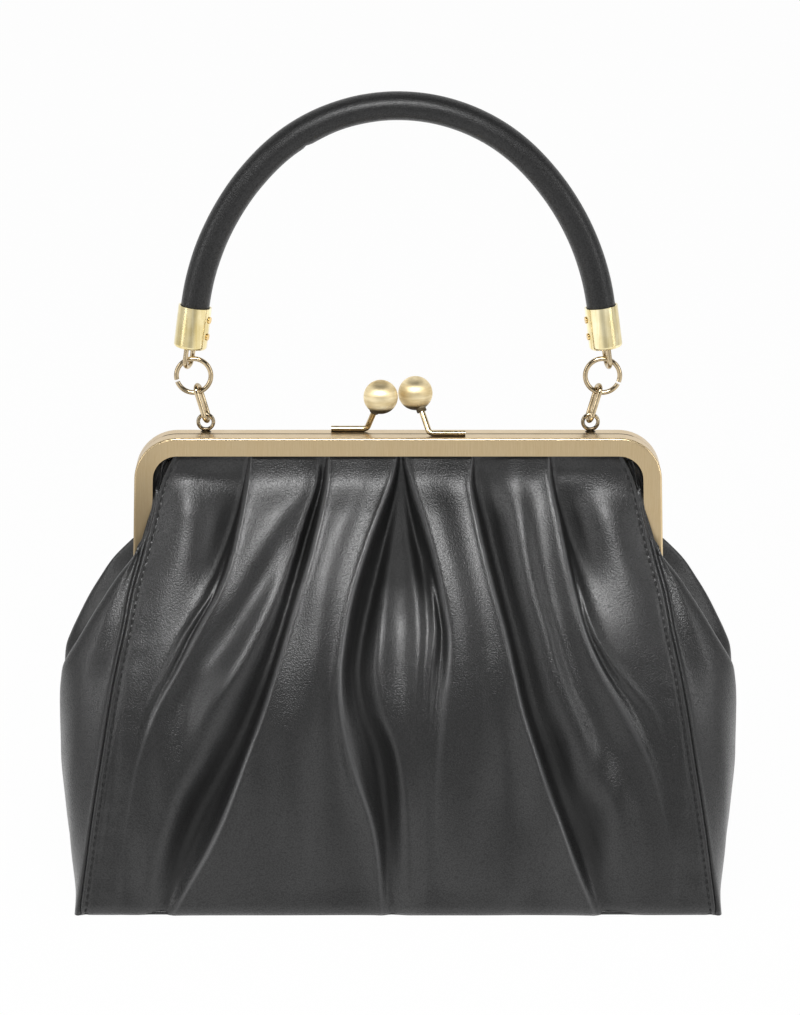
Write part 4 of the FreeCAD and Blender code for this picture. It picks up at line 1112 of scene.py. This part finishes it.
turn = np.linspace(0, 2 * math.pi, 49)
radius = np.full((len(line), len(turn)), SLEEVE_RADIUS)
radius = radius - SEAM_CUT * bell(turn - SEAM_TURN, SEAM_WIDTH)[None, :]
crease_walk = np.interp(CREASE_X, line[:, 0], walk)
pinch = bell(walk - crease_walk, 1.3)[:, None]
under = bell(turn - math.pi, 0.75)[None, :]
beside = bell(walk - crease_walk - 5, 7)[:, None]
radius = radius - CREASE_CUT * pinch * under + CREASE_BULGE * beside * under
walk_grid = np.repeat(walk[:, None], len(turn), axis=1)
turn_grid = np.repeat(turn[None, :], len(line), axis=0)
uneven = ripple(walk_grid, np.sin(turn_grid) * SLEEVE_RADIUS, *FRONT_RIPPLE)
uneven = uneven * ripple(walk_grid, np.cos(turn_grid) * SLEEVE_RADIUS, *OUTER_RIPPLE)
radius = radius + UNEVEN * uneven
out_part = radius * np.cos(turn)[None, :]
side_part = radius * np.sin(turn)[None, :]
handle_x = line[:, :1] + outer[:, :1] * out_part
handle_z = line[:, 1:] + outer[:, 1:] * out_part
handle_points = np.stack([handle_x, HANDLE_Y - side_part, handle_z], axis=-1)
handle = sheet_piece("handle_leather", handle_points[:, ::-1], handle_leather, 0)
bpy.ops.object.mode_set(mode="EDIT")
bpy.ops.mesh.select_all(action="SELECT")
bpy.ops.mesh.remove_doubles(threshold=0.00001)
bpy.ops.mesh.normals_make_consistent(inside=False)
bpy.ops.object.mode_set(mode="OBJECT")
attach(handle, "handle")
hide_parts("handle_sleeve")
print("handle line", round(float(walk[-1]), 1), "mm long")

# %% [markdown]
# The purse stands on a plain white sweep, and the floor keeps a faint shadow. Behind the purse all is white.
# A shiny surface sees a dark room above and a pale one below, palest at the sides, which gives brass and
# leather their contrast.

# %% Floor and world
CAMERA_RAY = 0
GLOSSY_RAY = 3
TRANSMISSION_RAY = 6
WHITE = (1, 1, 1, 1)
FLOOR_WHITE = 0.98
ROOM_DIM = 0.16
ROOM_TOP = 0.04
ROOM_LOW = 0.66
ROOM_SIDES = 0.6

bpy.ops.object.select_all(action="DESELECT")
bpy.ops.mesh.primitive_plane_add(size=8, location=(0, 0, -0.0004))
floor = bpy.context.object
floor.name = "studio_floor"
floor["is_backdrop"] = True
white_floor = bpy.data.materials.new("white_floor")
white_floor.use_nodes = True
white_floor.node_tree.nodes.clear()
wire = Wire(white_floor.node_tree)
seen = wire.node("ShaderNodeLightPath", output=CAMERA_RAY)
mirrored = wire.node("ShaderNodeLightPath", output=GLOSSY_RAY)
matte = wire.node("ShaderNodeBsdfDiffuse", None, {"Color": (0.8, 0.8, 0.8, 1)})
glow = wire.node("ShaderNodeEmission", None, {"Color": WHITE, "Strength": 1.0})
clear = wire.node("ShaderNodeBsdfTransparent")
mix = wire.node("ShaderNodeMixShader", None, {0: seen * FLOOR_WHITE, 1: matte, 2: glow})
mix = wire.node("ShaderNodeMixShader", None, {0: mirrored, 1: mix, 2: clear})
wire.node("ShaderNodeOutputMaterial", None, {"Surface": mix})
floor.data.materials.append(white_floor)

world = bpy.data.worlds.new("studio")
bpy.context.scene.world = world
world.use_nodes = True
world.node_tree.nodes.clear()
wire = Wire(world.node_tree)
seen = wire.node("ShaderNodeLightPath", output=CAMERA_RAY)
mirrored = wire.node("ShaderNodeLightPath", output=GLOSSY_RAY)
through = wire.node("ShaderNodeLightPath", output=TRANSMISSION_RAY)
direction = wire.node("ShaderNodeTexCoord", output=0)
behind = axis_of(direction, 1).between(-0.2, 0.5)
upward = axis_of(direction, 2)
below = 1 - upward.between(-0.3, 0.2)
near_foot = 1 - upward.between(-0.7, -0.25)
flank = wire.maths("ABSOLUTE", axis_of(direction, 0), 0).between(0.05, 0.55)
sweep = (ROOM_LOW + ROOM_SIDES * wire.maths("MAXIMUM", flank, near_foot)) * below + ROOM_TOP
room = wire.maths("MAXIMUM", sweep, behind)
dim = wire.node("ShaderNodeBackground", None, {"Color": WHITE, "Strength": ROOM_DIM})
shiny = wire.node("ShaderNodeBackground", None, {"Color": room, "Strength": 1.0})
bright = wire.node("ShaderNodeBackground", None, {"Color": WHITE, "Strength": 1.0})
sky = wire.node("ShaderNodeMixShader", None, {0: mirrored, 1: dim, 2: shiny})
sky = wire.node("ShaderNodeMixShader", None, {0: wire.maths("MAXIMUM", seen, through), 1: sky, 2: bright})
wire.node("ShaderNodeOutputWorld", None, {"Surface": sky})
print("white floor and studio world")

# %% [markdown]
# One large soft lamp in front and above gives the leather its long highlights. A fainter one at each side
# lights the gussets. Each is given by its place, its size and its power.

# %% Lamps
LAMP_AIM = Vector((0, 0, 0.15))
lamps = {
    "top_lamp": ((-0.08, -1.15, 1.12), (0.7, 0.42), 23),
    "left_lamp": ((-1.3, -0.7, 0.6), (0.4, 0.9), 6),
    "right_lamp": ((1.3, -0.7, 0.6), (0.4, 0.9), 6),
}
for name, (place, size, power) in lamps.items():
    bpy.ops.object.select_all(action="DESELECT")
    bpy.ops.object.light_add(type="AREA", location=place)
    lamp = bpy.context.object
    lamp.name = name
    lamp.data.shape = "RECTANGLE"
    lamp.data.size, lamp.data.size_y = size
    lamp.data.energy = power
    lamp.rotation_euler = (LAMP_AIM - Vector(place)).to_track_quat("-Z", "Y").to_euler()
print(len(lamps), "lamps")

# %% [markdown]
# The dressed purse has to stay inside the construction model's box, with a little room for soft leather.
# The box round the dressed purse is printed here.

# %% Size and finish
low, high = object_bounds()
print("visual box", [round(v, 4) for v in low], [round(v, 4) for v in high])
